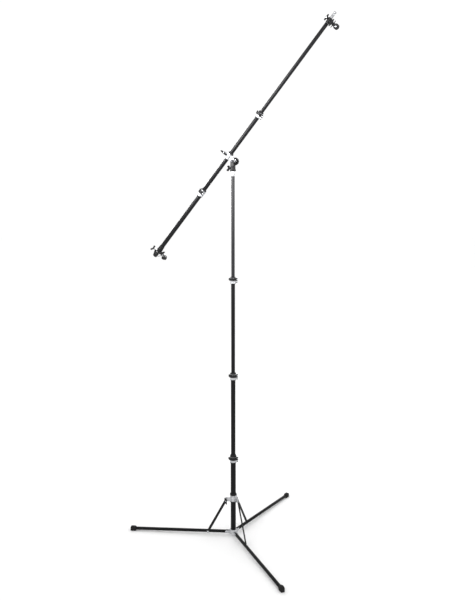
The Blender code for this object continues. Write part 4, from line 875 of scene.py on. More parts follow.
@dataclass(frozen=True)
class LegCollar:
    """The sliding casting that spreads the legs, its bush, its knob and the three struts."""

    base: Base
    low: float = 0.227
    height: float = 0.053
    wall: float = 0.006
    neck_wall: float = 0.0035
    neck_height: float = 0.020
    pin_reach: float = 0.048
    pin_height: float = 0.015
    foot_along_leg: float = 0.127
    strut_width: float = 0.017
    strut_thickness: float = 0.004
    ear_thickness: float = 0.0035
    ear_radius: float = 0.008
    ear_rise: float = 0.018
    knob_turn: float = 105.0
    bush_height: float = 0.008
    lower_bush: float = 0.0072
    upper_bush: float = 0.0055

    @property
    def side(self) -> float:
        """Sideways place of a strut, flat against the side of its leg."""
        return self.base.leg_radius + GAP + self.strut_thickness / 2.0

    def ear(self) -> np.ndarray:
        """A tall plate with the strut's pin in its lower outer corner."""
        edge = self.pin_reach + self.ear_radius
        high = self.pin_height + self.ear_rise
        corner = arc((self.pin_reach, self.pin_height), self.ear_radius, -90.0, 0.0)
        back = self.base.column_radius + 0.002
        line = np.vstack(([[back, self.pin_height - self.ear_radius]], corner,
                          [[edge, high - 0.009], [edge - 0.007, high], [back, high]]))
        return rounded(line, 0.0025)

    def casting(self, place: np.ndarray) -> None:
        """The ring with its neck, three pairs of ears and the struts' rivets."""
        bore = self.base.column_radius + RUNNING_GAP
        neck = self.height - self.neck_height
        out, thin = bore + self.wall, bore + self.neck_wall
        foot, rim = self.lower_bush + GAP, self.height - self.upper_bush
        section = rounded([(bore, foot), (out, foot), (out, neck - 0.004), (thin, neck), (thin, rim - 0.003),
                           (thin + 0.0008, rim - 0.002), (thin + 0.0008, rim), (bore, rim)], 0.0009)
        shells = [revolved(section, ring=True)]
        gap = self.strut_thickness / 2.0 + GAP
        width = 2.0 * (gap + self.ear_thickness)
        pins: list[Surface] = []
        for number, azimuth in enumerate(LEG_AZIMUTHS, 1):
            aim = turn(azimuth, "Z") @ shift(y=self.side)
            for way in (-1.0, 1.0):
                ear = plate(self.ear(), self.ear_thickness, 0.0009)
                shells.append(ear.placed(aim @ shift(y=way * (gap + self.ear_thickness / 2.0)) @ UPRIGHT))
            root = block((0.020, width, self.ear_rise + self.ear_radius - 0.004), 0.0015)
            shells.append(root.placed(aim @ shift(x=0.0265, z=self.pin_height + 0.005)))
            if number > 1:
                on_pin = aim @ shift(x=self.pin_reach, z=self.pin_height) @ ALONG_Y
                pins += [shell.placed(on_pin) for shell in rivet(width, 0.003, 0.005, 0.0015)]
        piece("leg_collar_casting", shells, SILVER_CASTING, "leg_collar", ["leg_collar"], place,
              Fuse(0.0008, 7))
        piece("leg_collar_pins", pins, ZINC_STEEL, "leg_collar", ["leg_collar"], place)
        high = self.height + GAP + self.bush_height
        bush = rounded([(bore, rim + GAP), (thin + 0.0012, rim + GAP),
                        (thin + 0.0012, high - self.bush_height * 0.6), (bore + 0.0018, high), (bore, high)],
                       0.0008, steps=5)
        piece("collar_bush_ring", [revolved(bush, ring=True)], NYLON, "leg_collar", ["collar_bush"], place)
        ring = rounded([(bore, 0.0), (out - 0.0014, 0.0), (out - 0.0006, self.lower_bush),
                        (bore, self.lower_bush)], 0.0008, steps=4)
        piece("collar_lower_bush", [revolved(ring, ring=True)], NYLON, "leg_collar", ["leg_collar"], place)

    def strut(self, number: int, azimuth: float, place: np.ndarray) -> None:
        """A flat bar with round ends, and its lower rivet."""
        droop = math.radians(self.base.droop)
        run = self.base.pin_reach + self.foot_along_leg * math.cos(droop) - self.pin_reach
        drop = self.low + self.pin_height - (self.base.pin_height - self.foot_along_leg * math.sin(droop))
        length = math.hypot(run, drop)
        matrix = (place @ turn(azimuth, "Z") @ shift(x=self.pin_reach, y=self.side, z=self.pin_height)
                  @ turn(math.degrees(math.atan2(drop, run)), "Y"))
        radius = self.strut_width / 2.0
        outline = np.vstack((arc((length, 0.0), radius, -90.0, 90.0), arc((0.0, 0.0), radius, 90.0, 270.0)))
        bar = plate(outline, self.strut_thickness, 0.0007).placed(UPRIGHT)
        name = f"strut_{number}"
        piece(name + "_bar", [bar], ENAMELLED_BAR, name, [name], matrix)
        face = self.strut_thickness / 2.0
        rivets = [pan_head(0.0052, face, 0.0018).placed(shift(x=length) @ ALONG_Y),
                  hollow(0.002, 0.0066, face, face + 0.0005, 0.0002, SMALL_ROUND_SIDES).placed(
                      shift(x=length) @ ALONG_Y)]
        piece(name + "_rivet", rivets, ZINC_STEEL, name, [name], matrix)

    def build(self) -> None:
        """Makes the casting, the knob and the struts."""
        place = shift(z=self.low)
        self.casting(place)
        for number, azimuth in enumerate(LEG_AZIMUTHS, 1):
            self.strut(number, azimuth, place)
        width = self.strut_thickness + 2.0 * GAP + 2.0 * self.ear_thickness
        seat = width / 2.0 + GAP
        on_pin = (place @ turn(LEG_AZIMUTHS[0], "Z") @ shift(x=self.pin_reach, y=self.side, z=self.pin_height)
                  @ ALONG_Y)
        WingKnob("collar_knob", "collar_knob", seat + width / 2.0).build(
            on_pin @ shift(z=seat) @ turn(self.knob_turn, "Z"))


@dataclass(frozen=True)
class Column:
    """Four telescopic tubes, their flip locks, and the spigot on top."""

    base: Base
    top: float = 2.380
    overlap: float = 0.080
    spigot_radius: float = 0.008
    spigot_collar_radius: float = 0.0108
    spigot_collar_height: float = 0.030
    spigot_length: float = 0.036
    radii: tuple[float, ...] = (0.0175, 0.0150, 0.0125, 0.0110)
    walls: tuple[float, ...] = (0.0015, 0.0015, 0.0010, 0.0010)
    lock_bases: tuple[float, ...] = (0.503, 1.073, 1.707)

    def locks(self) -> list[FlipLock]:
        """The three locks, lowest first."""
        r = self.radii
        return [FlipLock(1, "base", r[0], r[1], 0.023, 0.020, 0.0035, 0.012, lip=0.0068),
                FlipLock(2, "section_2", r[1], r[2], 0.020, 0.021, 0.0035, 0.006, lip=0.0042),
                FlipLock(3, "section_3", r[2], r[3], 0.021, 0.018, 0.003, 0.004)]

    def build(self) -> None:
        """Makes the tubes, locks and spigot."""
        locks = self.locks()
        straight_tube("tube_1", "base", self.radii[0], self.walls[0], self.base.hub_floor + GAP,
                      self.lock_bases[0] + locks[0].height)
        for number in (2, 3, 4):
            low = self.lock_bases[number - 2] - self.overlap
            high = self.top if number == 4 else self.lock_bases[number - 1] + locks[number - 1].height
            bore = self.radii[number - 2] - self.walls[number - 2]
            # Painted light: the top tube takes a greyer copy of the anodised finish, for the brighter light
            # at the top.
            finish = TOP_TUBE_LIGHTER_ANODISED if number == 4 else ANODISED
            radius, wall = self.radii[number - 1], self.walls[number - 1]
            straight_tube(f"tube_{number}", f"section_{number}", radius, wall, low, high,
                          glide=bore - RUNNING_GAP, finish=finish)
        for lock, low in zip(locks, self.lock_bases):
            lock.build(shift(z=low))
        collar, tip = self.spigot_collar_height, self.spigot_collar_height + self.spigot_length
        wide, thin = self.spigot_collar_radius, self.spigot_radius
        profile = rounded([(thin * 0.5, GAP), (wide, GAP), (wide, collar - 0.001), (wide - 0.001, collar),
                           (thin, collar), (thin, tip - 0.0012), (thin - 0.0012, tip), (POLE, tip)],
                          0.0006, closed=False)
        piece("top_spigot_turned", [revolved(profile)], TURNED_BAR, "section_4", ["top_spigot"],
              shift(z=self.top))


@dataclass(frozen=True)
class Head:
    """The fork that turns on the spigot, its bolt, washer and two knobs."""

    column: Column
    azimuth: float = -25.0
    socket_height: float = 0.062
    socket_radius: float = 0.0160
    lip_radius: float = 0.0185
    lip_height: float = 0.008
    fork_radius: float = 0.011
    fork_slot: float = 0.0126
    tine: float = 0.0095
    slot_depth: float = 0.021
    bolt_radius: float = 0.004
    bolt_head_radius: float = 0.0075
    bolt_head_height: float = 0.005
    washer_radius: float = 0.0145
    washer_thickness: float = 0.002
    knob_radius: float = 0.024
    knob_depth: float = 0.020
    knob_standoff: float = 0.007
    knob_wall: float = 0.0035
    socket_knob_height: float = 0.037
    socket_knob_azimuth: float = -165.0

    def matrix(self) -> np.ndarray:
        """The head's frame: the origin on the tilt bolt, whose axis is Y."""
        height = self.column.top + self.column.spigot_collar_height + self.socket_height
        return shift(z=height) @ turn(self.azimuth, "Z")

    def socket(self) -> None:
        """The casting: a lipped barrel over the spigot, and two tines with round ends and bosses."""
        foot = -self.socket_height + GAP
        bore = self.column.spigot_radius + RUNNING_GAP
        ceiling = -self.socket_height + self.column.spigot_length + 0.001
        crown = -self.slot_depth
        r, lip = self.socket_radius, self.lip_radius
        profile = rounded([(POLE, crown), (r - 0.001, crown), (r, crown - 0.003),
                           (r, foot + 2 * self.lip_height), (lip, foot + self.lip_height), (lip, foot),
                           (bore, foot), (bore, ceiling), (POLE, ceiling)], 0.0022, closed=False)
        shells = [revolved(profile)]
        outline = np.vstack(([[-self.fork_radius, -self.slot_depth - 0.010], [self.fork_radius,
                              -self.slot_depth - 0.010]], arc((0.0, 0.0), self.fork_radius, 0.0, 180.0)))
        side = (self.fork_slot + self.tine) / 2.0
        for way in (-1.0, 1.0):
            shells.append(plate(outline, self.tine, 0.0014).placed(shift(y=way * side) @ UPRIGHT))
            gusset = rounded([(-0.0135, crown - 0.008), (0.0135, crown - 0.008), (0.0105, crown + 0.008),
                              (-0.0105, crown + 0.008)], 0.003)
            shells.append(plate(gusset, 0.0070, 0.0016).placed(shift(y=way * (side - 0.0006)) @ UPRIGHT))
        out = turn(self.socket_knob_azimuth, "Z") @ shift(z=-self.socket_knob_height - 0.006) @ ALONG_X
        shells.append(rod(0.0078, 0.010, r + 0.0005, 0.0010).placed(out))
        place = self.matrix()
        piece("head_casting", shells, BLACK_CASTING, "head", ["head_socket"], place, Fuse(0.0007, 6))
        seat = r + 0.0008
        WingKnob("socket_knob", "socket_knob", seat - self.column.spigot_radius - GAP).build(
            place @ out @ shift(z=seat) @ turn(45.0, "Z"))

    def bolt(self) -> None:
        """The tilt bolt with its hexagon head, the plain washer and the round knob."""
        place = self.matrix() @ ALONG_Y
        face = self.fork_slot / 2.0 + self.tine + GAP
        knob_face = face + self.washer_thickness + GAP
        tip = knob_face + self.knob_depth * 0.7
        head = hexagon(2.0 * self.bolt_head_radius * 0.93, -face - self.bolt_head_height, -face - 0.0008)
        under = hollow(self.bolt_radius, self.bolt_head_radius, -face - 0.0008, -face, 0.0002)
        piece("tilt_bolt_steel", [head, under, rod(self.bolt_radius, -face, tip)], BLACKED_STEEL, "head",
              ["tilt_bolt"], place)
        bore = self.bolt_radius + RUNNING_GAP
        washer = hollow(bore, self.washer_radius, face, face + self.washer_thickness, 0.0004)
        piece("tilt_washer_steel", [washer], ZINC_STEEL, "head", ["tilt_washer"], place)
        back = knob_face + self.knob_standoff
        front = back + self.knob_depth
        r, wall, boss = self.knob_radius, self.knob_wall, self.bolt_radius * 2.2
        web = front - wall
        profile = rounded([(POLE, front - 0.0012), (r * 0.45, front - 0.0008), (r * 0.86, front),
                           (r, front - 0.0045), (r, back), (r - wall, back), (r - wall - 0.001, web),
                           (boss, web), (boss, knob_face), (bore, knob_face), (bore, tip + GAP),
                           (POLE, tip + GAP)], 0.0012, closed=False)
        shells = [revolved(profile, 120, lobes=10, depth=0.0018)]
        for angle in range(0, 360, 60):
            rib = block((r - wall - boss + 0.003, 0.0022, self.knob_depth - wall + 0.001), 0.0008)
            shells.append(rib.placed(turn(angle, "Z") @ shift(x=(r - wall + boss) / 2.0,
                                                             z=(back + 0.004 + web) / 2.0)))
        piece("tilt_knob_moulding", shells, NYLON, "tilt_knob", ["tilt_knob"], place)

    def build(self) -> None:
        """Makes the fork, its bolt and its knobs."""
        self.socket()
        self.bolt()


@dataclass(frozen=True)
class Boom:
    """The tilting arm: the split sleeve in the fork, and three telescopic tubes with two flip locks.

    In its frame Z runs along the tubes, X is square to them and up, and the tilt bolt is the origin.
    """

    head: Head
    elevation: float = 49.5
    offset: float = 0.0405
    radii: tuple[float, ...] = (0.0140, 0.0125, 0.0110)
    wall: float = 0.0010
    rear_end: float = -0.770
    front_end: float = 0.950
    lock_4_base: float = -0.314
    lock_5_base: float = 0.298
    overlap: float = 0.085
    sleeve_wall: float = 0.004
    sleeve_low: float = -0.013
    sleeve_high: float = 0.024
    lug_radius: float = 0.0115
    lug_thickness: float = 0.012
    ear_thickness: float = 0.006
    ear_radius: float = 0.0085
    slit: float = 0.003
    screw_offset: float = 0.031
    knob_seat: float = 0.0127
    flange_radius: float = 0.019
    flange_height: float = 0.008
    flange_neck_radius: float = 0.0145

    def cradle(self) -> np.ndarray:
        """The sleeve's frame in the row frame."""
        angle = math.radians(self.elevation)
        along = np.array((math.cos(angle), 0.0, math.sin(angle)))
        up = np.array((-math.sin(angle), 0.0, math.cos(angle)))
        matrix = np.eye(4)
        matrix[:3, 0], matrix[:3, 1], matrix[:3, 2] = up, np.cross(along, up), along
        return self.head.matrix() @ matrix

    def axis(self) -> np.ndarray:
        """The tubes' frame: the same turn, with the origin on their axis."""
        return self.cradle() @ shift(x=self.offset)

    def sleeve(self) -> None:
        """The silver split sleeve, its black guide ring and the wing knob that closes it."""
        bore = self.radii[1] + RUNNING_GAP
        out = bore + self.sleeve_wall
        low, high = self.sleeve_low, self.sleeve_high
        bead = out + 0.0005
        section = rounded([(bore, low), (bead, low), (bead, low + 0.003), (out, low + 0.004),
                           (out, high - 0.004), (bead, high - 0.003), (bead, high), (bore, high)], 0.0010)
        opening = math.degrees(self.slit / 2.0 / out)
        shells = [split_ring(section, opening, 360.0 - opening)]
        back = -bore - 0.001
        lug = np.vstack((arc((-self.offset, 0.0), self.lug_radius, 110.0, 250.0),
                         [[back, low * 0.9], [back, high * 0.9]]))
        shells.append(plate(rounded(lug, 0.0010), self.lug_thickness, 0.0012).placed(UPRIGHT))
        middle = (low + high) / 2.0
        ear = ear_outline(bore + 0.001, self.screw_offset, self.ear_radius)
        for way in (-1.0, 1.0):
            side = way * (self.slit + self.ear_thickness) / 2.0
            shells.append(plate(ear, self.ear_thickness, 0.0010).placed(shift(y=side, z=middle) @ UPRIGHT))
            spine = rounded([(out - 0.002, low + 0.004), (self.screw_offset - 0.006, middle - 0.006),
                             (self.screw_offset - 0.006, middle + 0.006), (out - 0.002, high - 0.004)], 0.002)
            shells.append(plate(spine, 0.003, 0.0009).placed(shift(y=side) @ UPRIGHT))
        on_screw = shift(x=self.screw_offset, z=middle) @ ALONG_Y
        shells.append(rod(0.0076, self.slit, self.knob_seat, 0.0008).placed(on_screw))
        axis = self.axis()
        piece("sleeve_casting", shells, SILVER_CASTING, "cradle", ["boom_sleeve"], axis, Fuse(0.0007, 6))
        start = high + GAP
        neck, wide, tall = self.flange_neck_radius, self.flange_radius, self.flange_height
        profile = rounded([(bore, start), (wide, start), (wide, start + tall * 0.3), (neck, start + tall),
                           (bore, start + tall)], 0.0008, steps=5)
        piece("sleeve_guide", [revolved(profile, ring=True)], NYLON, "cradle", ["sleeve_flange"], axis)
        seat = self.knob_seat + GAP
        reach = seat + self.ear_thickness + self.slit / 2.0
        WingKnob("sleeve_knob", "sleeve_knob", reach).build(axis @ on_screw @ shift(z=seat))
        ear_back = -self.ear_thickness - self.slit / 2.0
        end = hexagon(0.0085, ear_back - 0.0032, ear_back)
        piece("sleeve_nut", [end], ZINC_STEEL, "cradle", ["boom_sleeve"], axis @ on_screw)

    def build(self) -> None:
        """Makes the sleeve, the tubes and the locks."""
        self.sleeve()
        axis = self.axis()
        rear, middle, front = self.radii
        lock_4 = FlipLock(4, "boom_rear", rear, middle, 0.021, 0.021, 0.005, 0.006, bare_rim=0.003,
                          pin_azimuth=-50.0)
        lock_5 = FlipLock(5, "boom_middle", middle, front, 0.017, 0.019, 0.003, 0.004)
        straight_tube("boom_rear_tube", "boom_rear", rear, self.wall, self.rear_end,
                      self.lock_4_base + lock_4.height, axis)
        straight_tube("boom_middle_tube", "boom_middle", middle, self.wall, self.lock_4_base - self.overlap,
                      self.lock_5_base + lock_5.height, axis)
        straight_tube("boom_front_tube", "boom_front", front, self.wall, self.lock_5_base - self.overlap,
                      self.front_end, axis, middle - self.wall - RUNNING_GAP * 0.5)
        half_turn = turn(180.0, "Z")
        lock_4.build(axis @ shift(z=self.lock_4_base) @ half_turn)
        lock_5.build(axis @ shift(z=self.lock_5_base) @ half_turn)


@dataclass(frozen=True)
class SpringClip:
    """A spring clip whose stem turns about Z on a bracket's boss. Its jaws open along X."""

    end: str
    stem_radius: float = 0.011
    stem_height: float = 0.0035
    shaft_radius: float = 0.004
    shaft_length: float = 0.005
    pin_reach: float = 0.023
    pin_radius: float = 0.002
    knuckle: float = 0.0042
    neck_width: float = 0.012
    cheek: float = 0.003
    thickness: float = 0.003
    length: float = 0.059
    pad_reach: float = 0.043
    pad_radius: float = 0.0155
    bow: float = 0.0095
    splay: float = 0.022
    handle_start: float = 0.0115
    handle_width: float = 0.050
    cushion_thickness: float = 0.0035

    def jaw(self, side: float, near: float, neck_width: float) -> list[Surface]:
        """One bowed strip with its splayed handle and round pad.

        The middle line is bow * sin(pi * (0.22 + 0.78 s)) from the pin outwards, and falls from the
        splayed handle to the pin before it. The width at each height is the widest of the handle,
        the neck and the chord of the pad's circle.
        """
        start = self.pin_reach + 0.003
        share = np.linspace(0.0, 1.0, 36)
        along = start + (self.length - start) * share
        across = self.bow * np.sin(np.pi * (0.22 + 0.78 * share)) + self.thickness / 2.0 + GAP
        handle_low = self.handle_start - 0.003
        corner = [(self.splay, handle_low), (0.0080, self.pin_reach - 0.0055), (near, self.pin_reach)]
        handle = rounded(corner + [(across[0], along[0])], 0.0040, closed=False, steps=8)
        at = np.linspace(0, len(handle) - 1, 40)
        dense = np.column_stack([np.interp(at, np.arange(len(handle)), handle[:, k]) for k in (0, 1)])
        line = np.vstack((dense[:-1], np.column_stack((across, along))))
        line[:, 0] *= side
        z = line[:, 1]
        neck_start = self.pin_reach - 0.0070
        spread = np.clip((neck_start - 0.001 - z) / 0.0035, 0.0, 1.0)
        ease = eased(spread)
        tip = np.sqrt(np.clip((z - handle_low) / 0.004, 0.0, 1.0))
        width = neck_width + (self.handle_width - neck_width) * ease
        width = np.where(ease > 0.5, width - 0.008 * (1.0 - tip), width)
        chord = 2.0 * np.sqrt(np.maximum(self.pad_radius ** 2 - (z - self.pad_reach) ** 2, 0.0))
        taper = np.clip((z - self.pin_reach) / 0.006, 0.0, 1.0)
        beyond = np.maximum(chord, neck_width * (1.0 - taper) + 0.004 * taper)
        width = np.where(z > self.pin_reach, beyond, width)
        return [strip(line, width, self.thickness)]

    def cushion(self, side: float) -> Surface:
        """The rubber cushion inside a pad.

        It is as thick as the room up to the jaws' middle plane, and at most cushion_thickness.
        """
        reach = self.pad_radius - 0.0012
        z = np.linspace(self.pad_reach - reach, min(self.pad_reach + reach, self.length - 0.0008), 30)
        start = self.pin_reach + 0.003
        inner = self.bow * np.sin(np.pi * (0.22 + 0.78 * (z - start) / (self.length - start))) + GAP - 0.0001
        thick = np.clip(inner - 0.0006, 0.0006, self.cushion_thickness)
        line = np.column_stack((side * (inner - thick / 2.0), z))
        width = 2.0 * np.sqrt(np.maximum(reach ** 2 - (z - self.pad_reach) ** 2, 0.0)) + 0.0018
        return strip(line, width, thick, 0.0003)

    def button(self, side: float) -> Surface:
        """A flat round rivet in the middle of a pad's outer face."""
        share = (self.pad_reach - self.pin_reach - 0.003) / (self.length - self.pin_reach - 0.003)
        across = self.bow * math.sin(math.pi * (0.22 + 0.78 * share)) + self.thickness + GAP
        place = shift(x=side * across, z=self.pad_reach) @ turn(side * 90.0, "Y")
        return pan_head(0.0045, 0.0, 0.0011).placed(place)

    def build(self, matrix: np.ndarray) -> None:
        """Makes the stem with its fixed jaw, the moving jaw, the pin, the cushions and the buttons."""
        base_node, jaw_node = f"{self.end}_clip_base", f"{self.end}_clip_jaw"
        base_body, jaw_body = f"{self.end}_clip", f"{self.end}_jaw"
        top = GAP + self.stem_height
        stem = revolved(rounded([(POLE, -self.shaft_length), (self.shaft_radius, -self.shaft_length),
                                 (self.shaft_radius, GAP), (self.stem_radius, GAP), (self.stem_radius, top),
                                 (POLE, top)], 0.0009, closed=False))
        inner = self.neck_width + 2 * GAP
        width = inner + 2 * self.cheek
        back = self.knuckle + 2 * GAP
        outline = np.vstack(([[back + 0.002, top - 0.001], [back + 0.002, self.pin_reach + 0.003]],
                             arc((0.0, self.pin_reach), self.knuckle, 30.0, 180.0, 12),
                             [[-self.knuckle, top - 0.001]]))
        shells = [stem]
        for way in (-1.0, 1.0):
            side = way * (inner + self.cheek) / 2.0
            shells.append(plate(outline, self.cheek, 0.0007).placed(shift(y=side) @ UPRIGHT))
        shells += self.jaw(1.0, back + self.thickness / 2.0, width)
        wall = block((self.thickness, width, 0.010), 0.0010)
        shells.append(wall.placed(shift(x=back + self.thickness / 2.0, z=self.pin_reach - 0.003)))
        piece(base_node + "_moulding", shells, NYLON, base_body, [base_node], matrix, Fuse(0.0006, 4))
        knuckle = rod(self.knuckle, -self.neck_width / 2.0, self.neck_width / 2.0, 0.0005)
        moving = self.jaw(-1.0, self.knuckle - self.thickness / 2.0, self.neck_width)
        moving.append(knuckle.placed(shift(z=self.pin_reach) @ ALONG_Y))
        piece(jaw_node + "_moulding", moving, NYLON, jaw_body, [jaw_node], matrix, Fuse(0.0006, 4))
        on_pin = matrix @ shift(z=self.pin_reach) @ ALONG_Y
        end = pan_head(0.0032, width / 2.0, 0.0010)
        pin = [rod(self.pin_radius, -width / 2.0 - 0.0006, width / 2.0 + 0.0006), end,
               end.placed(turn(180.0, "X"))]
        piece(base_node + "_pin", pin, ZINC_STEEL, base_body, [base_node], on_pin)
        piece(base_node + "_cushion", [self.cushion(1.0)], RUBBER, base_body, [base_node], matrix)
        piece(jaw_node + "_cushion", [self.cushion(-1.0)], RUBBER, jaw_body, [jaw_node], matrix)
        piece(base_node + "_button", [self.button(1.0)], ZINC_STEEL, base_body, [base_node], matrix)
        piece(jaw_node + "_button", [self.button(-1.0)], ZINC_STEEL, jaw_body, [jaw_node], matrix)


def clip_boss(low: float, radius: float, high: float) -> Surface:
    """The round boss on a bracket that a clip's stem turns in: a ring about Z round its shaft."""
    bore = 0.0045
    profile = rounded([(bore, low), (radius, low), (radius, high), (bore, high)], 0.0010)
    return revolved(profile, ring=True)


@dataclass(frozen=True)
class FrontEnd:
    """The stud in the front tube, and the split bracket that is clamped on it."""

    boom: Boom
    stud_radius: float = 0.008
    stud_length: float = 0.074
    groove: float = 0.0018
    bracket_radius: float = 0.013
    bracket_length: float = 0.032
    boss_radius: float = 0.011
    boss_reach: float = 0.014
    slit: float = 0.002
    ear_thickness: float = 0.005
    ear_radius: float = 0.0065
    screw_offset: float = 0.0166
    screw_along: float = 0.021
    knob_seat: float = 0.0100
    knob_size: float = 0.8

    def build(self) -> None:
        """Makes the stud, the bracket, its knob and its clip."""
        end = self.boom.axis() @ shift(z=self.boom.front_end) @ turn(180.0, "Z")
        r, neck, deep = self.stud_radius, self.stud_length * 0.82, self.stud_radius - self.groove
        tip = self.stud_length
        profile = rounded([(r * 0.5, GAP), (r, GAP), (r, neck - 0.005), (deep, neck - 0.003),
                           (deep, neck + 0.003), (r, neck + 0.005), (r, tip - 0.0012), (r - 0.0012, tip),
                           (POLE, tip)], 0.0006, closed=False)
        piece("boom_stud_turned", [revolved(profile)], PLATED_STUD, "boom_front", ["boom_stud"], end)
        place = end @ shift(z=2 * GAP)
        bore, out, tall = r + RUNNING_GAP, self.bracket_radius, self.bracket_length
        section = rounded([(bore, 0.0), (out, 0.0), (out, tall), (bore, tall)], 0.0013)
        opening = math.degrees(self.slit / 2.0 / out)
        shells = [split_ring(section, -180.0 + opening, 180.0 - opening)]
        across = shift(z=tall / 2.0) @ ALONG_X
        shells.append(clip_boss(bore + 0.001, self.boss_radius, self.boss_reach).placed(across))
        ear = ear_outline(bore + 0.001, self.screw_offset, self.ear_radius)
        for way in (-1.0, 1.0):
            side = way * (self.slit + self.ear_thickness) / 2.0
            shells.append(plate(ear, self.ear_thickness, 0.0009).placed(
                shift(y=side, z=self.screw_along) @ turn(180.0, "Z") @ UPRIGHT))
        on_screw = shift(x=-self.screw_offset, z=self.screw_along) @ UPRIGHT
        shells.append(rod(0.0060, self.slit, self.knob_seat, 0.0008).placed(on_screw))
        piece("front_bracket_casting", shells, BLACK_CASTING, "front_bracket", ["front_bracket"], place,
              Fuse(0.0006, 5))
        seat = self.knob_seat + GAP
        reach = seat + self.ear_thickness + self.slit / 2.0
        WingKnob("front_knob", "front_knob", reach, self.knob_size).build(
            place @ on_screw @ shift(z=seat) @ turn(90.0, "Z"))
        SpringClip("front").build(place @ across @ shift(z=self.boss_reach) @ turn(90.0, "Z"))


@dataclass(frozen=True)
class RearEnd:
    """The bracket on the rear tube's end, with its empty receiver. Z points away from the boom."""

    boom: Boom
    cone_length: float = 0.022
    cone_radius: float = 0.0180
    body_length: float = 0.024
    receiver_radius: float = 0.014
    receiver_length: float = 0.026
    receiver_bore: float = 0.008
    receiver_offset: float = 0.009
    receiver_along: float = 0.0365
    knob_standoff: float = 0.015
    knob_turn: float = 35.0
    knob_size: float = 0.8
    clip_along: float = 0.022
    clip_slant: float = -6.0
    boss_radius: float = 0.011
    boss_reach: float = 0.017

    def build(self) -> None:
        """Makes the casting, its knob and its clip."""
        end = self.boom.axis() @ shift(z=self.boom.rear_end) @ turn(180.0, "X") @ turn(180.0, "Z")
        bore = self.boom.radii[0] + GAP
        wide, long = self.cone_radius, self.body_length
        profile = rounded([(POLE, GAP), (bore, GAP), (bore, -self.cone_length),
                           (bore + 0.0015, -self.cone_length), (bore + 0.0022, -self.cone_length * 0.35),
                           (wide, -0.001), (wide, long * 0.6), (wide * 0.8, long), (POLE, long)],
                          0.0018, closed=False)
        shells = [revolved(profile)]
        eye_place = shift(x=-self.receiver_offset, z=self.receiver_along)
        half = self.receiver_length / 2.0
        inner, outer = self.receiver_bore + RUNNING_GAP, self.receiver_radius
        flare = inner + 0.0024
        eye = revolved(rounded([(inner, 0.006 - half), (flare, -half), (outer, -half), (outer, half),
                                (flare, half), (inner, half - 0.006)], 0.0012), ring=True)
        shells.append(eye.placed(eye_place @ ALONG_Y))
        web_length = self.receiver_along - long * 0.4
        web = block((0.0080, self.receiver_length * 0.8, web_length * 0.78), 0.0016)
        shells.append(web.placed(shift(x=0.0045, z=self.receiver_along - web_length / 2.0 + 0.007)))
        for way in (-1.0, 1.0):
            side = way * (self.receiver_length * 0.35)
            foot, top = self.receiver_along + 0.004, self.receiver_along + 0.0335
            gusset = rounded([(-0.022, foot + 0.002), (0.009, foot), (0.009, top), (-0.013, top)], 0.003)
            shells.append(plate(gusset, 0.0050, 0.0010).placed(shift(y=side) @ UPRIGHT))
        lug = block((0.022, self.receiver_length * 0.7, 0.019), 0.0020)
        shells.append(lug.placed(shift(x=-self.receiver_offset + 0.007,
                                       z=self.receiver_along + self.receiver_radius + 0.010)))
        out = eye_place @ turn(180.0, "Z") @ ALONG_X
        boss = revolved(rounded([(0.0033, inner + 0.001), (0.0068, inner + 0.001), (0.0062, outer + 0.0030),
                                 (0.0033, outer + 0.0030)], 0.0007), ring=True)
        shells.append(boss.placed(out))
        across = shift(z=self.clip_along) @ turn(self.clip_slant, "Y") @ ALONG_X
        shells.append(clip_boss(0.004, self.boss_radius, self.boss_reach).placed(across))
        piece("rear_bracket_casting", shells, BLACK_CASTING, "boom_rear", ["rear_bracket"], end,
              Fuse(0.0007, 6))
        seat = outer + self.knob_standoff
        WingKnob("rear_knob", "rear_knob", seat - self.receiver_bore, self.knob_size).build(
            end @ out @ shift(z=seat) @ turn(self.knob_turn, "Z"))
        SpringClip("rear").build(end @ across @ shift(z=self.boss_reach))


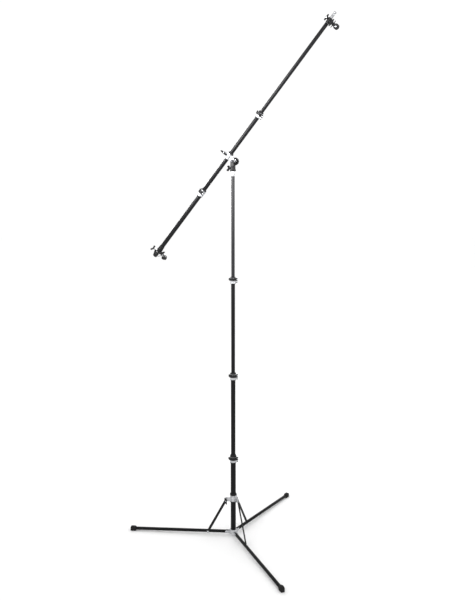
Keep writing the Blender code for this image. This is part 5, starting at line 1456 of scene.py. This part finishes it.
@dataclass(frozen=True)
class Studio:
    """The photograph's camera, a pale floor and soft light."""

    focal_length: float = 39.09
    sensor: float = 36.0
    camera_back: float = 4.114
    camera_height: float = 2.2767
    look_down: float = 0.1625
    look_right: float = 0.0069
    floor_half: float = 30.0
    surround_strength: float = 1.03
    aim_height: float = 2.7
    spread: float = 80.0

    def camera(self) -> None:
        """The camera, as fitted to the feet, the column and the boom."""
        data = bpy.data.cameras.new("camera")
        data.lens = self.focal_length
        data.sensor_width = self.sensor
        data.clip_end = 60.0
        obj = bpy.data.objects.new("camera", data)
        obj.location = (0.0, -self.camera_back, self.camera_height)
        obj.rotation_euler = (math.pi / 2.0 - self.look_down, 0.0, -self.look_right)
        bpy.context.scene.collection.objects.link(obj)
        bpy.context.scene.camera = obj

    def floor(self) -> None:
        """A pale sweep under the feet."""
        half = self.floor_half
        mesh = bpy.data.meshes.new("floor")
        corners = [(-half, -half, -FLOOR_DROP), (half, -half, -FLOOR_DROP), (half, half, -FLOOR_DROP),
                   (-half, half, -FLOOR_DROP)]
        mesh.from_pydata(corners, [], [(0, 1, 2, 3)])
        paint = bpy.data.materials.new("pale_floor")
        paint.use_nodes = True
        shader = paint.node_tree.nodes["Principled BSDF"]
        shader.inputs["Base Color"].default_value = linear("#fdfdfd")
        shader.inputs["Roughness"].default_value = 0.9
        mesh.materials.append(paint)
        obj = bpy.data.objects.new("floor", mesh)
        bpy.context.scene.collection.objects.link(obj)

    def light(self) -> None:
        """A white surround, with soft boxes at the front left, the right and the back."""
        world = bpy.data.worlds.new("white_surround")
        world.use_nodes = True
        background = world.node_tree.nodes["Background"]
        background.inputs["Color"].default_value = (1.0, 1.0, 1.0, 1.0)
        background.inputs["Strength"].default_value = self.surround_strength
        bpy.context.scene.world = world
        bpy.context.scene.view_settings.view_transform = "Standard"
        for name, where, power, size in (("left_box", (-1.8, -1.6, 3.2), 46.0, 1.2),
                                         ("right_box", (1.8, -1.5, 3.2), 23.0, 1.2),
                                         ("back_box", (-0.6, 2.6, 2.9), 30.0, 1.6)):
            data = bpy.data.lights.new(name, "AREA")
            data.energy = power
            data.size = size
            data.spread = math.radians(self.spread)
            obj = bpy.data.objects.new(name, data)
            obj.location = where
            aim = np.array((0.0, 0.0, self.aim_height)) - np.array(where)
            yaw = math.atan2(aim[1], aim[0])
            pitch = math.atan2(aim[2], math.hypot(aim[0], aim[1]))
            obj.rotation_euler = (math.pi / 2.0 + pitch, 0.0, yaw - math.pi / 2.0)
            bpy.context.scene.collection.objects.link(obj)

    def build(self) -> None:
        """Sets the whole studio."""
        self.camera()
        self.floor()
        self.light()


def main() -> None:
    """Builds the studio and every sub-assembly."""
    logging.basicConfig(level=logging.INFO, format="%(message)s", stream=sys.stdout)
    Studio().build()
    base = Base()
    base.build()
    LegCollar(base).build()
    column = Column(base)
    column.build()
    head = Head(column)
    head.build()
    boom = Boom(head)
    boom.build()
    FrontEnd(boom).build()
    RearEnd(boom).build()


if __name__ == "__main__":
    main()
